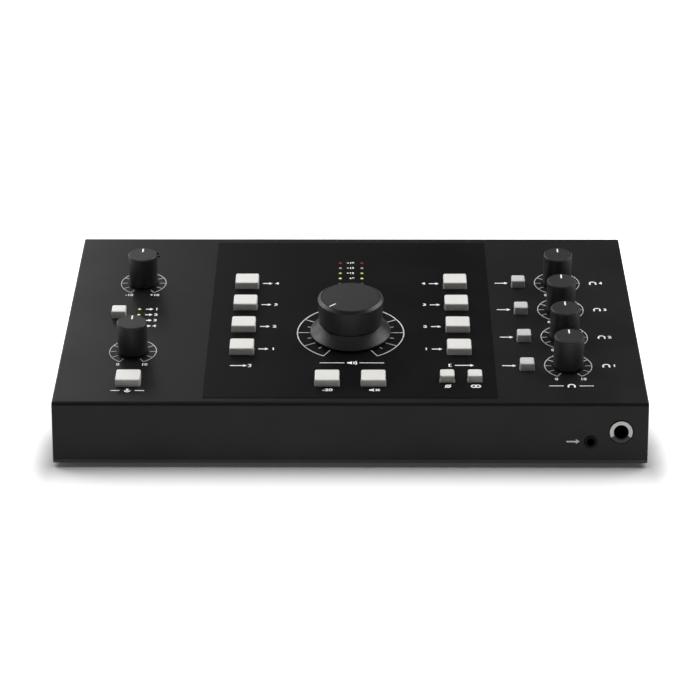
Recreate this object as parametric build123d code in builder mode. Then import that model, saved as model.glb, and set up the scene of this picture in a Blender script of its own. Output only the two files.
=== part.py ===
from build123d import *
from math import cos, radians, sin, sqrt, tan
import os

os.makedirs("parts", exist_ok=True)

# A desktop studio monitor controller: a folded steel cover with a sloping control panel
# on a flat tray, closed at the back by a connector panel. Millimetres, +Z up, the front
# faces -Y. The origin is the bottom centre of the box that holds the whole object.

# Case
case_width = 276.5
panel_length = 162.5  # up the sloping control panel, front bend to rear edge
panel_slope = 7.5  # degrees from level
front_height = 28.85  # underside of the tray to the front bend
front_lean = 7.1  # degrees that the front face leans back
sheet = 1.5  # cover and rear panel
tray_sheet = 1.5
bend_radius = 2.0
edge_radius = 0.8
lip_width = 9.0  # inward lips along the foot of the cover
rear_inset = 2.0  # rear panel behind the cover's rear edge
tab_width = 10.0  # folded tabs that carry the rear panel
tab_height = 34.0
flange_depth = 10.0  # foot of the rear panel
flange_gap = 2.5  # between the flange and the tabs
seam_gap = 0.3
overlay_width = 137.0
overlay_margin = 4.5  # from the front bend and from the rear edge
overlay_sheet = 0.2

# Feet and fasteners
foot_height = 2.4
foot_radius = 6.5
foot_side = 21.0  # from the side of the case
foot_front = 14.0  # behind the front bend
foot_rear = 23.1  # from the rear edge
screw_radius = 1.5
screw_clearance = 0.2
head_radius = 2.75
head_height = 1.8
side_screw_stations = (24.0, 78.0, 132.0)
flange_screw_pitch = 90.0
tab_screw_inset = 8.7  # from the foot of the tab
tab_screw_drop = 3.3  # from the top of the tab
pan_taper = 12.0  # degrees
foot_barb_taper = 20.0  # degrees

# Control panel layout: across from the middle, and up the slope from the front bend
volume_v = 65.0
talk_side = 34.25  # talkback column, from the left side of the case
phones_side = 35.15  # headphone knobs, from the right side
trim_behind = 28.15  # trim knob in front of the microphone
talk_v = 47.15
phones_v = 34.05
phones_pitch = 27.05
select_x = 51.95
select_v = 48.65
select_pitch = 21.7
select_rows = 4
monitor_x = 10.85
monitor_v = 19.5
mode_spread = 6.5
mode_v = 21.6
source_inboard = 19.55  # source buttons, inwards from the headphone knobs
source_v = 32.75
digital_outboard = 9.6  # digital button, outwards from the talkback column
digital_v = 82.7
meter_x = 5.45
meter_rear = 26.5  # top row of the meter, from the rear edge
meter_pitch = 5.43
meter_rows = 8
lamp_v = 88.3
lamp_pitch = 5.55
lamp_rows = 4
mic_rear = 19.4  # from the rear edge
mic_ring_radius = 5.5
mic_hole_radius = 0.85
mic_outer_holes = 10
mic_inner_holes = 5

# Buttons
wide_cap = (11.75, 10.0)
small_cap = (7.1, 6.8)
cap_height = 3.8
cap_corner = 1.0
cap_edge = 0.6
cap_gap = 0.25  # around the cap in its hole
cap_flange = 0.9  # the cap's retaining rim under the panel
cap_flange_height = 1.0
under_gap = 0.4  # left under the panel by rims and collars
button_travel = 1.2
plunger_width = 3.2
plunger_gap = 0.15
switch_height = 4.3
switch_width = 8.4
small_switch_width = 6.2
plunger_reach = 1.3

# Knobs and potentiometers
small_knob_radius = 7.1
small_knob_height = 16.4
small_knob_chamfer = 0.5
knob_lift = 0.8
volume_knob_height = 20.0
volume_top_radius = 15.8
volume_face_radius = 14.3
volume_chamfer_height = 1.1
volume_waist_radius = 13.9
skirt_radius = 19.45
skirt_edge = 0.7
skirt_height = 5.9
skirt_neck_radius = 14.2
skirt_flare_radius = 20.0
skirt_lift = 0.7  # above the overlay
volume_side_radius = 60.0
volume_groove_margin = 0.6
groove_depth = 0.2
groove_width = 0.6
small_groove_margin = 0.7
small_groove_length = 3.7
volume_groove_length = 4.1
volume_pointer_angle = 133.5  # degrees anticlockwise from straight up the panel
shaft_radius = 3.0
shaft_gap = 0.05
shaft_flat = 1.5  # from the axis to the D flat
shaft_cover = 3.6  # knob material above the end of the shaft
pot_width = 11.6
pot_depth = 12.4
pot_height = 6.8
bushing_radius = 3.5
bushing_reach = 2.9
bushing_gap = 0.15
nut_across = 10.0
nut_height = 2.0
volume_pot_radius = 8.5
volume_pot_height = 8.0
volume_bushing_radius = 4.5
volume_bushing_reach = 3.6
volume_nut_across = 12.0

# Lamps
lens_radius = 1.15
lens_gap = 0.12
lens_stand = 0.3
lens_bevel = 0.2
lens_collar = 0.5

# Talkback microphone
mic_capsule_radius = 4.85
mic_boot_radius = 7.2
mic_boot_height = 5.5

# Boards
board_sheet = 1.6
board_drop = 12.0  # panel face down to the top of the control board
control_board_left = 16.0  # from the left side of the case
control_board_right = 26.0  # from the right side
control_board_front = 12.5
control_board_rear = 35.0  # from the rear edge
meter_drop = 5.0
meter_board_width = 24.0
meter_board_margin = 2.4  # past the first and last rows of lamps
header_width = 2.5
header_inset = 3.0
spacer_across = 5.5
spacer_stations = (36.0, 82.0, 120.0)
main_board_side = 33.0  # from the side of the case
main_board_front = 32.0
main_board_gap = 4.0  # in front of the jack board
main_standoff = 5.0
main_hole_inset = 6.0
main_hole_columns = 3
main_hole_rows = 2
jack_board_bottom = 4.0

# Connectors on the rear panel, from the right-hand tab to the left-hand one, and above the tray
jack_group_counts = (2, 3, 3)
group_gap = 2.5  # times the gap between neighbours
lower_row = 12.0
row_pitch = 17.5
jack_bore = 3.25
jack_barrel = 4.7
jack_barrel_reach = 6.0
jack_body_width = 15.2
jack_body_height = 14.6
jack_body_depth = 22.0
jack_wall = 1.4
jack_nut_across = 12.7
jack_nut_height = 2.4
hole_gap = 0.1
phono_reach = 7.4
phono_shell = 4.15
phono_bore = 1.75
phono_collar = 5.4
optical_width = 9.7
optical_height = 9.9
optical_mouth = 8.0
optical_reach = 1.0
mini_nose = 2.9
mini_bore = 1.8
mini_width = 6.4
mini_height = 5.0
mini_depth = 13.0
mini_reach = 0.4
inlet_width = 9.0
inlet_height = 11.0
inlet_bore = 3.15
inlet_pin = 1.05
inlet_depth = 14.0
rocker_width = 9.6
rocker_swing_radius = 8.2
rocker_gap = 0.25
rocker_tilt = 7.5  # degrees either side of level
rocker_depth = 5.0
rocker_crown = 3.2  # middle of the rocker above its pivot
rocker_lobe = 4.6  # ends of the rocker above its pivot
rocker_pivot = 1.5  # pivot behind the rear panel's face
rocker_pin_radius = 1.2
rocker_pin_reach = 0.8
switch_bezel = 1.5
switch_bezel_rim = 2.4
switch_body_depth = 13.0
switch_wall = 1.2

# Headphone sockets on the front face
front_jack_side = 12.7  # from the side of the case
front_jack_up = 13.7  # up the face from the tray
front_mini_side = 26.7
front_jack_hole = 5.7
nose_radius = 5.25
nose_stand = 0.45
ring_inner = 3.55
ring_height = 0.75
ring_gap = 0.06
ring_opening = 120.0  # degrees of dark lip at the bottom of the ring
phones_board_width = 28.0
phones_board_depth = 18.0
phones_board_side = 17.25  # middle of the board, from the side of the case
front_jack_setback = 0.3

# Components on the main board
relay_size = (10.0, 15.0)
relay_height = 8.0
relay_count = 6
relay_pitch = 32.0
relay_inset = 15.0  # middle of the row, from the rear edge of the board
capacitor_radius = 4.0
capacitor_height = 11.0
capacitor_count = 8
capacitor_pitch = 24.0
capacitor_inset = 35.0
chip_size = (5.0, 4.0)
chip_height = 1.6
chip_columns = 8
chip_rows = 2
chip_pitch = 20.0
chip_inset = 29.0  # middle of the two rows, from the front edge of the board
ribbon_width = 26.0
ribbon_thickness = 0.9
ribbon_bend = 0.8
ribbon_start = 13.0  # from the front edge of the main board
ribbon_rise = 11.0  # further up the slope at the control board
ribbon_plug_height = 3.6

# Planes and places worked out from the sizes above
slope = radians(panel_slope)
lean = radians(front_lean)
tray_top = foot_height + tray_sheet
front_run = (front_height - tray_sheet) * tan(lean)
face_length = (front_height - tray_sheet) / cos(lean)
panel_run = panel_length * cos(slope)
rear_reach = phono_reach - rear_inset
overall_depth = front_run + panel_run + rear_reach
front_y = -overall_depth / 2
bend_y = front_y + front_run
rear_y = bend_y + panel_run
bend_z = foot_height + front_height
rear_z = bend_z + panel_length * sin(slope)
rear_outer_y = rear_y - rear_inset
rear_inner_y = rear_outer_y - sheet
tab_y = rear_inner_y - sheet
side_x = case_width / 2
inner_x = side_x - sheet
talk_x = side_x - talk_side
phones_x = side_x - phones_side
source_x = phones_x - source_inboard
digital_x = talk_x + digital_outboard
front_jack_x = side_x - front_jack_side
front_mini_x = side_x - front_mini_side
phones_board_x = side_x - phones_board_side
front_jack_down = face_length - front_jack_up
front_mini_down = front_jack_down + (jack_body_height - mini_height) / 2
mic_v = panel_length - mic_rear
trim_v = mic_v - trim_behind
meter_v = panel_length - meter_rear
upper_row = lower_row + row_pitch
tab_screw_heights = (tab_screw_inset + seam_gap, tab_height - tab_screw_drop + seam_gap)
flange_width = 2 * (inner_x - tab_width - flange_gap)
rear_panel_top = bend_z + (rear_inner_y - bend_y) * tan(slope) - sheet / cos(slope) - seam_gap

panel = Plane(origin=(0, bend_y, bend_z), x_dir=(1, 0, 0), z_dir=(0, -sin(slope), cos(slope)))
face = Plane(origin=(0, bend_y, bend_z), x_dir=(1, 0, 0), z_dir=(0, -cos(lean), sin(lean)))
back = Plane(origin=(0, rear_outer_y, tray_top), x_dir=(-1, 0, 0), z_dir=(0, 1, 0))
panel_axis = Axis(panel.origin, panel.z_dir)

overlay_rear = panel_length - overlay_margin
control_board_end = panel_length - control_board_rear
meter_board_front = meter_v - (meter_rows - 1) * meter_pitch - meter_board_margin
meter_board_length = (meter_rows - 1) * meter_pitch + 2 * meter_board_margin
lip_reach = 3 * nose_radius
lip_angles = (radians(270 - ring_opening / 2), radians(270 + ring_opening / 2))
lip_corners = [(lip_reach * cos(a), lip_reach * sin(a)) for a in lip_angles]
ring_corners = [(x, y + 2 * ring_gap) for x, y in lip_corners]
meter_stations = [meter_v - row * meter_pitch for row in range(meter_rows)]
lamp_stations = [lamp_v - row * lamp_pitch for row in range(lamp_rows)]

wide_buttons = {
    "dim_button": (-monitor_x, monitor_v),
    "cut_button": (monitor_x, monitor_v),
    "talkback_button": (-talk_x, monitor_v),
}
small_buttons = {
    "polarity_button": (select_x - mode_spread, mode_v),
    "mono_button": (select_x + mode_spread, mode_v),
    "digital_button": (-digital_x, digital_v),
}
small_knobs = {
    "trim_knob": (-talk_x, trim_v),
    "talkback_knob": (-talk_x, talk_v),
}
for row in range(select_rows):
    wide_buttons[f"input_button_{row + 1}"] = (-select_x, select_v + row * select_pitch)
    wide_buttons[f"output_button_{row + 1}"] = (select_x, select_v + row * select_pitch)
    small_buttons[f"source_button_{row + 1}"] = (source_x, source_v + row * phones_pitch)
    small_knobs[f"headphone_knob_{row + 1}"] = (phones_x, phones_v + row * phones_pitch)

meter_places = [(side * meter_x, v) for side in (-1, 1) for v in meter_stations]
lamp_places = [(-talk_x, v) for v in lamp_stations]

# Columns of connectors, spread over the rear panel with equal gaps and wider ones between groups
bezel_width = rocker_width + 2 * rocker_gap + 2 * switch_bezel_rim
column_widths = [jack_body_width] * sum(jack_group_counts)
column_widths += [2 * phono_collar, 2 * phono_collar, mini_width, inlet_width, bezel_width]
gap_shares = [1.0] * (len(column_widths) + 1)
for last in range(len(jack_group_counts)):
    gap_shares[sum(jack_group_counts[:last + 1])] = group_gap
column_room = 2 * (inner_x - tab_width)
unit_gap = (column_room - sum(column_widths)) / sum(gap_shares)
columns = []
column_edge = column_room / 2
for width, share in zip(column_widths, gap_shares):
    column_edge -= share * unit_gap + width / 2
    columns.append(column_edge)
    column_edge -= width / 2
jack_columns = columns[:sum(jack_group_counts)]
phono_x, digital_in_x, aux_x, power_in_x, power_switch_x = columns[sum(jack_group_counts):]
jack_places = [(-x, z) for x in jack_columns for z in (lower_row, upper_row)]
phono_places = [(-phono_x, lower_row), (-phono_x, upper_row), (-digital_in_x, upper_row)]
side_screw_places = [(x * (inner_x - lip_width / 2), bend_y + y)
                     for x in (-1, 1) for y in side_screw_stations]
flange_screw_places = [(x * flange_screw_pitch, rear_inner_y - flange_depth / 2) for x in (-1, 0, 1)]
bottom_screw_places = side_screw_places + flange_screw_places
tab_screw_places = [(x * (inner_x - tab_width / 2), z) for x in (-1, 1) for z in tab_screw_heights]
foot_places = [(x * (side_x - foot_side), y)
               for x in (-1, 1) for y in (bend_y + foot_front, rear_y - foot_rear)]
spacer_x = (select_x + source_x) / 2
spacer_places = [(x, v) for x in (-spacer_x, spacer_x) for v in spacer_stations]


def finish(part, name):
    part.label = name
    export_step(part, f"parts/{name}.step")


def button_holes():
    """Cut-outs for the caps, drawn in the sketch that is open."""
    for cap, places in ((wide_cap, wide_buttons), (small_cap, small_buttons)):
        with Locations(*places.values()):
            RectangleRounded(cap[0] + 2 * cap_gap, cap[1] + 2 * cap_gap, cap_corner + cap_gap)


def panel_holes():
    """Every cut-out of the control panel, drawn in the sketch that is open."""
    button_holes()
    with Locations((0, volume_v)):
        Circle(volume_bushing_radius + bushing_gap)
    with Locations(*small_knobs.values()):
        Circle(bushing_radius + bushing_gap)
    with Locations(*meter_places, *lamp_places):
        Circle(lens_radius + lens_gap)
    with Locations((-talk_x, mic_v)):
        Circle(mic_hole_radius)
        with PolarLocations(mic_ring_radius, mic_outer_holes):
            Circle(mic_hole_radius)
        with PolarLocations(mic_ring_radius / 2, mic_inner_holes):
            Circle(mic_hole_radius)


def d_section(gap):
    """Section of the flatted shaft, grown by a gap."""
    with BuildSketch() as section:
        Circle(shaft_radius + gap)
        with Locations((0, shaft_flat + gap)):
            Rectangle(4 * shaft_radius, 2 * shaft_radius, align=(Align.CENTER, Align.MIN),
                      mode=Mode.SUBTRACT)
    return section.sketch


shaft_section = d_section(0)
socket_section = d_section(shaft_gap)

# Cover: control panel, front face and side walls folded from one sheet
with BuildPart() as top_cover:
    with BuildSketch(Plane.YZ):
        with BuildLine():
            Polyline((front_y, tray_top), (bend_y, bend_z), (rear_y, rear_z), (rear_y, tray_top),
                     close=True)
        make_face()
    extrude(amount=case_width / 2, both=True)
    open_faces = top_cover.faces().filter_by(Axis.Z).sort_by(Axis.Z)[:1]
    open_faces += top_cover.faces().filter_by(Axis.Y).sort_by(Axis.Y)[-1:]
    offset(amount=-sheet, openings=open_faces, kind=Kind.INTERSECTION)
    long_edges = top_cover.edges().filter_by(Axis.X)
    outer_bend = long_edges.filter_by(lambda e: abs(e.center().Y - bend_y) < 0.01)
    fillet(outer_bend, bend_radius)
    inner_bend = top_cover.edges().filter_by(Axis.X)
    inner_bend = inner_bend.filter_by(lambda e: bend_y < e.center().Y < rear_y - sheet)
    inner_bend = inner_bend.filter_by(lambda e: bend_z - 3 * sheet < e.center().Z < bend_z - sheet / 2)
    fillet(inner_bend.sort_by(Axis.Y)[:1], bend_radius - sheet)
    rims = top_cover.edges().filter_by(lambda e: abs(abs(e.center().X) - case_width / 2) < 0.01)
    rims = rims.filter_by(lambda e: e.center().Z > tray_top + sheet and e.center().Y < rear_y - sheet)
    fillet(rims, edge_radius)
    with BuildSketch(Plane.XY.offset(tray_top)):
        with Locations((0, (front_y + sheet + tab_y) / 2)):
            Rectangle(2 * inner_x, tab_y - front_y - sheet)
        with Locations((0, (front_y + sheet + lip_width + tab_y) / 2)):
            Rectangle(2 * (inner_x - lip_width), tab_y - front_y - sheet - lip_width, mode=Mode.SUBTRACT)
    extrude(amount=sheet)
    with BuildSketch(Plane.XZ.offset(-rear_inner_y)):
        for side in (-1, 1):
            with Locations((side * inner_x, tray_top + seam_gap)):
                Rectangle(tab_width, tab_height, align=(Align.MAX if side > 0 else Align.MIN, Align.MIN))
    extrude(amount=sheet)
    with BuildSketch(panel):
        panel_holes()
    extrude(amount=3 * sheet, both=True, mode=Mode.SUBTRACT)
    with BuildSketch(face):
        with Locations((front_jack_x, -front_jack_down)):
            Circle(front_jack_hole)
        with Locations((front_mini_x, -front_mini_down)):
            Circle(mini_nose + 2 * hole_gap)
    extrude(amount=2 * sheet, both=True, mode=Mode.SUBTRACT)
    with BuildSketch(Plane.XY.offset(tray_top)):
        with Locations(*side_screw_places):
            Circle(screw_radius + hole_gap)
    extrude(amount=2 * sheet, mode=Mode.SUBTRACT)
    with BuildSketch(back):
        with Locations(*tab_screw_places):
            Circle(screw_radius + hole_gap)
    extrude(amount=-4 * sheet, mode=Mode.SUBTRACT)
finish(top_cover.part, "top_cover")

# Tray: the flat floor of the case
with BuildPart() as base_tray:
    with BuildSketch(Plane.XY.offset(foot_height)):
        with Locations((0, (front_y + rear_outer_y) / 2)):
            RectangleRounded(case_width, rear_outer_y - front_y, edge_radius)
        with Locations(*foot_places):
            Circle(screw_radius + screw_clearance, mode=Mode.SUBTRACT)
    extrude(amount=tray_sheet)
    with Locations(Plane(origin=(0, 0, foot_height), x_dir=(1, 0, 0), z_dir=(0, 0, -1))):
        with Locations(*[(x, -y) for x, y in bottom_screw_places]):
            CounterSinkHole(screw_radius + screw_clearance, head_radius + screw_clearance,
                            counter_sink_angle=90)
finish(base_tray.part, "base_tray")

# Rear panel: an upright plate with a foot folded inwards
with BuildPart() as rear_panel:
    with BuildSketch(Plane.XZ.offset(-rear_outer_y)):
        with Locations((0, tray_top)):
            Rectangle(2 * (inner_x - seam_gap), rear_panel_top - tray_top, align=(Align.CENTER, Align.MIN))
    extrude(amount=sheet)
    with BuildSketch(Plane.XY.offset(tray_top)):
        with Locations((0, rear_outer_y)):
            Rectangle(flange_width, flange_depth + sheet, align=(Align.CENTER, Align.MAX))
        with Locations(*flange_screw_places):
            Circle(screw_radius + hole_gap, mode=Mode.SUBTRACT)
    extrude(amount=sheet)
    with BuildSketch(back):
        with Locations(*jack_places):
            Circle(jack_barrel + hole_gap)
        with Locations(*phono_places):
            Circle(phono_collar + hole_gap)
        with Locations((-digital_in_x, lower_row)):
            Rectangle(optical_width + 2 * hole_gap, optical_height + 2 * hole_gap)
        with Locations((-aux_x, lower_row)):
            Circle(mini_nose + 2 * hole_gap)
        with Locations((-power_in_x, lower_row)):
            Rectangle(inlet_width + 2 * hole_gap, inlet_height + 2 * hole_gap)
        with Locations((-power_switch_x, (lower_row + upper_row) / 2)):
            Rectangle(rocker_width + 2 * (rocker_gap + switch_wall + hole_gap),
                      2 * (rocker_swing_radius + rocker_gap + switch_wall + hole_gap))
        with Locations(*tab_screw_places):
            Circle(screw_radius + screw_clearance)
    extrude(amount=-2 * sheet, mode=Mode.SUBTRACT)
finish(rear_panel.part, "rear_panel")

# Overlay: the dark film over the middle of the control panel
with BuildPart() as centre_overlay:
    with BuildSketch(panel):
        with Locations((0, (overlay_margin + overlay_rear) / 2)):
            Rectangle(overlay_width, overlay_rear - overlay_margin)
        with BuildSketch(mode=Mode.PRIVATE) as openings:
            panel_holes()
        add(openings.sketch, mode=Mode.SUBTRACT)
    extrude(amount=overlay_sheet)
finish(centre_overlay.part, "centre_overlay")

# Feet: rubber discs with a stem through the tray and a barbed head inside
with BuildPart() as rubber_feet:
    with BuildSketch(Plane.XY):
        with Locations(*foot_places):
            Circle(foot_radius)
    extrude(amount=foot_height)
    chamfer(rubber_feet.edges().group_by(Axis.Z)[0], foot_height / 4)
    with BuildSketch(Plane.XY.offset(foot_height)):
        with Locations(*foot_places):
            Circle(screw_radius)
    extrude(amount=tray_sheet)
    with BuildSketch(Plane.XY.offset(tray_top)):
        with Locations(*foot_places):
            Circle(head_radius)
    extrude(amount=head_height, taper=foot_barb_taper)
finish(rubber_feet.part, "rubber_feet")

# Case screws: countersunk under the tray, pan-headed on the rear panel
with BuildPart() as case_screws:
    with BuildSketch(Plane.XY.offset(foot_height)):
        with Locations(*bottom_screw_places):
            Circle(head_radius)
    extrude(amount=head_radius - screw_radius, taper=45)
    with BuildSketch(Plane.XY.offset(foot_height)):
        with Locations(*bottom_screw_places):
            Circle(screw_radius)
    extrude(amount=tray_sheet + 2 * sheet)
    with BuildSketch(back):
        with Locations(*tab_screw_places):
            Circle(screw_radius)
    extrude(amount=-3 * sheet)
    with BuildSketch(back):
        with Locations(*tab_screw_places):
            Circle(head_radius)
    extrude(amount=head_height, taper=pan_taper)
finish(case_screws.part, "case_screws")

# Control board, hung under the panel on spacers
with BuildPart() as control_board:
    with BuildSketch(panel.offset(-board_drop)):
        with Locations((control_board_left - side_x, control_board_front)):
            Rectangle(case_width - control_board_left - control_board_right,
                      control_board_end - control_board_front, align=(Align.MIN, Align.MIN))
        with Locations(*spacer_places):
            Circle(screw_radius + screw_clearance, mode=Mode.SUBTRACT)
    extrude(amount=-board_sheet)
finish(control_board.part, "control_board")

# Meter board, close under the panel, standing on two pin headers
with BuildPart() as meter_board:
    with BuildSketch(panel.offset(-meter_drop)):
        with Locations((0, meter_board_front)):
            Rectangle(meter_board_width, meter_board_length, align=(Align.CENTER, Align.MIN))
    extrude(amount=-board_sheet)
    with BuildSketch(panel.offset(-meter_drop - board_sheet)):
        for side in (-1, 1):
            with Locations((side * (meter_board_width / 2 - header_inset), meter_board_front)):
                Rectangle(header_width, control_board_end - meter_board_front - header_inset,
                          align=(Align.CENTER, Align.MIN))
    extrude(amount=-(board_drop - meter_drop - board_sheet))
finish(meter_board.part, "meter_board")

# Main board on its standoffs over the tray
jack_board_y = rear_inner_y - jack_body_depth
main_z = tray_top + main_standoff
main_board_width = case_width - 2 * main_board_side
main_board_edge = bend_y + main_board_front
main_board_end = jack_board_y - board_sheet - main_board_gap
main_board_middle = (main_board_edge + main_board_end) / 2
main_board_length = main_board_end - main_board_edge
main_hole_grid = ((main_board_width - 2 * main_hole_inset) / (main_hole_columns - 1),
                  (main_board_length - 2 * main_hole_inset) / (main_hole_rows - 1))
with BuildPart() as main_board:
    with BuildSketch(Plane.XY.offset(main_z)):
        with Locations((0, main_board_middle)):
            Rectangle(main_board_width, main_board_length)
            with GridLocations(*main_hole_grid, main_hole_columns, main_hole_rows):
                Circle(screw_radius + screw_clearance, mode=Mode.SUBTRACT)
    extrude(amount=board_sheet)
finish(main_board.part, "main_board")

# Jack board, upright behind the rear connectors
with BuildPart() as jack_board:
    with BuildSketch(Plane.XZ.offset(-jack_board_y)):
        with Locations(((jack_columns[0] + power_in_x) / 2, tray_top + jack_board_bottom)):
            Rectangle(jack_columns[0] - power_in_x + jack_body_width,
                      upper_row + jack_body_height / 2 - jack_board_bottom, align=(Align.CENTER, Align.MIN))
    extrude(amount=board_sheet)
finish(jack_board.part, "jack_board")

# Hexagonal spacers: six under the panel, six under the main board
with BuildPart() as board_standoffs:
    with BuildSketch(panel.offset(-sheet)):
        with Locations(*spacer_places):
            RegularPolygon(spacer_across / 2, 6, major_radius=False)
    extrude(amount=-(board_drop - sheet))
    with BuildSketch(Plane.XY.offset(tray_top)):
        with Locations((0, main_board_middle)):
            with GridLocations(*main_hole_grid, main_hole_columns, main_hole_rows):
                RegularPolygon(spacer_across / 2, 6, major_radius=False)
    extrude(amount=main_standoff)
    with BuildSketch(panel.offset(-board_drop)):
        with Locations(*spacer_places):
            Circle(screw_radius)
    extrude(amount=2 * board_sheet, mode=Mode.SUBTRACT)
    with BuildSketch(Plane.XY.offset(main_z)):
        with Locations((0, main_board_middle)):
            with GridLocations(*main_hole_grid, main_hole_columns, main_hole_rows):
                Circle(screw_radius)
    extrude(amount=-2 * board_sheet, mode=Mode.SUBTRACT)
finish(board_standoffs.part, "board_standoffs")

# Board screws: short pan heads
shank_radius = screw_radius - 2 * shaft_gap
with BuildPart() as board_screws:
    with BuildSketch(panel.offset(-board_drop - board_sheet)):
        with Locations(*spacer_places):
            Circle(head_radius)
    extrude(amount=-head_height, taper=pan_taper)
    with BuildSketch(panel.offset(-board_drop - board_sheet)):
        with Locations(*spacer_places):
            Circle(shank_radius)
    extrude(amount=2 * board_sheet)
    with BuildSketch(Plane.XY.offset(main_z + board_sheet)):
        with Locations((0, main_board_middle)):
            with GridLocations(*main_hole_grid, main_hole_columns, main_hole_rows):
                Circle(head_radius)
    extrude(amount=head_height, taper=pan_taper)
    with BuildSketch(Plane.XY.offset(main_z + board_sheet)):
        with Locations((0, main_board_middle)):
            with GridLocations(*main_hole_grid, main_hole_columns, main_hole_rows):
                Circle(shank_radius)
    extrude(amount=-2 * board_sheet)
finish(board_screws.part, "board_screws")

# Volume potentiometer: round can and threaded bushing
with BuildPart() as volume_pot:
    with BuildSketch(panel.offset(-board_drop)):
        with Locations((0, volume_v)):
            Circle(volume_pot_radius)
    extrude(amount=volume_pot_height)
    chamfer(volume_pot.faces().sort_by(panel_axis)[-1].edges(), cap_edge)
    with BuildSketch(panel.offset(-board_drop + volume_pot_height)):
        with Locations((0, volume_v)):
            Circle(volume_bushing_radius)
    extrude(amount=board_drop - volume_pot_height + volume_bushing_reach)
    with BuildSketch(panel.offset(volume_bushing_reach)):
        with Locations((0, volume_v)):
            Circle(shaft_radius + shaft_gap)
    extrude(amount=-(volume_bushing_reach + board_drop - volume_pot_height / 4), mode=Mode.SUBTRACT)
finish(volume_pot.part, "volume_pot")

# Small potentiometers: square cans and thinner bushings
with BuildPart() as small_pots:
    with BuildSketch(panel.offset(-board_drop)):
        with Locations(*small_knobs.values()):
            Rectangle(pot_width, pot_depth)
    extrude(amount=pot_height)
    with BuildSketch(panel.offset(-board_drop + pot_height)):
        with Locations(*small_knobs.values()):
            Circle(bushing_radius)
    extrude(amount=board_drop - pot_height + bushing_reach)
    with BuildSketch(panel.offset(bushing_reach)):
        with Locations(*small_knobs.values()):
            Circle(shaft_radius + shaft_gap)
    extrude(amount=-(bushing_reach + board_drop - pot_height / 4), mode=Mode.SUBTRACT)
finish(small_pots.part, "small_pots")

# Nuts that clamp the potentiometers to the panel
with BuildPart() as pot_nuts:
    with BuildSketch(panel.offset(overlay_sheet)):
        with Locations((0, volume_v)):
            RegularPolygon(volume_nut_across / 2, 6, major_radius=False)
            Circle(volume_bushing_radius + shaft_gap, mode=Mode.SUBTRACT)
    extrude(amount=nut_height)
    with BuildSketch(panel):
        with Locations(*small_knobs.values()):
            RegularPolygon(nut_across / 2, 6, major_radius=False)
            Circle(bushing_radius + shaft_gap, mode=Mode.SUBTRACT)
    extrude(amount=nut_height)
finish(pot_nuts.part, "pot_nuts")

# Push switches under the caps
with BuildPart() as push_switches:
    for width, places in ((switch_width, wide_buttons), (small_switch_width, small_buttons)):
        with BuildSketch(panel.offset(-board_drop)):
            with Locations(*places.values()):
                Rectangle(width, width)
        extrude(amount=switch_height)
        with BuildSketch(panel.offset(-board_drop + switch_height)):
            with Locations(*places.values()):
                Rectangle(plunger_width + 2 * plunger_gap, plunger_width + 2 * plunger_gap)
        extrude(amount=-(plunger_reach + button_travel + seam_gap), mode=Mode.SUBTRACT)
finish(push_switches.part, "push_switches")


def make_button(cap, place):
    """A cap with bevelled edges, a retaining rim under the panel and a square plunger."""
    rim_top = -sheet - under_gap
    rim_bottom = rim_top - cap_flange_height
    with BuildPart() as button:
        with BuildSketch(panel.offset(rim_bottom)):
            with Locations(place):
                RectangleRounded(*cap, cap_corner)
        extrude(amount=cap_height - rim_bottom)
        crown = button.faces().sort_by(panel_axis)[-1]
        chamfer(crown.edges(), cap_edge)
        with BuildSketch(panel.offset(rim_bottom)):
            with Locations(place):
                RectangleRounded(cap[0] + 2 * cap_flange, cap[1] + 2 * cap_flange, cap_corner)
        extrude(amount=cap_flange_height)
        with BuildSketch(panel.offset(rim_bottom)):
            with Locations(place):
                Rectangle(plunger_width, plunger_width)
        extrude(amount=-(board_drop - switch_height + plunger_reach + rim_bottom))
    return button.part


for cap, places in ((wide_cap, wide_buttons), (small_cap, small_buttons)):
    for name, place in places.items():
        finish(make_button(cap, place), name)


def make_shaft(place, bottom, shoulder, top):
    """A round shaft whose upper end is flatted."""
    with BuildPart() as shaft:
        with BuildSketch(panel.offset(bottom)):
            with Locations(place):
                Circle(shaft_radius)
        extrude(amount=shoulder - bottom)
        with BuildSketch(panel.offset(shoulder)):
            with Locations(place):
                add(shaft_section)
        extrude(amount=top - shoulder)
    return shaft.part


def make_small_knob(place):
    """A plain cylinder with a chamfered top, hollow over the nut, on its shaft."""
    shaft_top = small_knob_height - shaft_cover
    cavity = bushing_reach + seam_gap
    shaft = make_shaft(place, pot_height / 4 + seam_gap - board_drop, cavity - shaft_gap, shaft_top)
    groove_end = place[1] + small_knob_radius - small_knob_chamfer - small_groove_margin
    with BuildPart() as knob:
        with BuildSketch(panel.offset(knob_lift)):
            with Locations(place):
                Circle(small_knob_radius)
        extrude(amount=small_knob_height - knob_lift)
        chamfer(knob.faces().sort_by(panel_axis)[-1].edges(), small_knob_chamfer)
        with BuildSketch(panel.offset(knob_lift)):
            with Locations(place):
                Circle(nut_across / sqrt(3) + seam_gap)
        extrude(amount=cavity - knob_lift, mode=Mode.SUBTRACT)
        with BuildSketch(panel.offset(cavity)):
            with Locations(place):
                add(socket_section)
        extrude(amount=shaft_top + shaft_gap - cavity, mode=Mode.SUBTRACT)
        with BuildSketch(panel.offset(small_knob_height)):
            with Locations((place[0], groove_end)):
                Rectangle(groove_width, small_groove_length, align=(Align.CENTER, Align.MAX))
        extrude(amount=-groove_depth, mode=Mode.SUBTRACT)
        add(shaft)
    return knob.part


for name, place in small_knobs.items():
    finish(make_small_knob(place), name)

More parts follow.
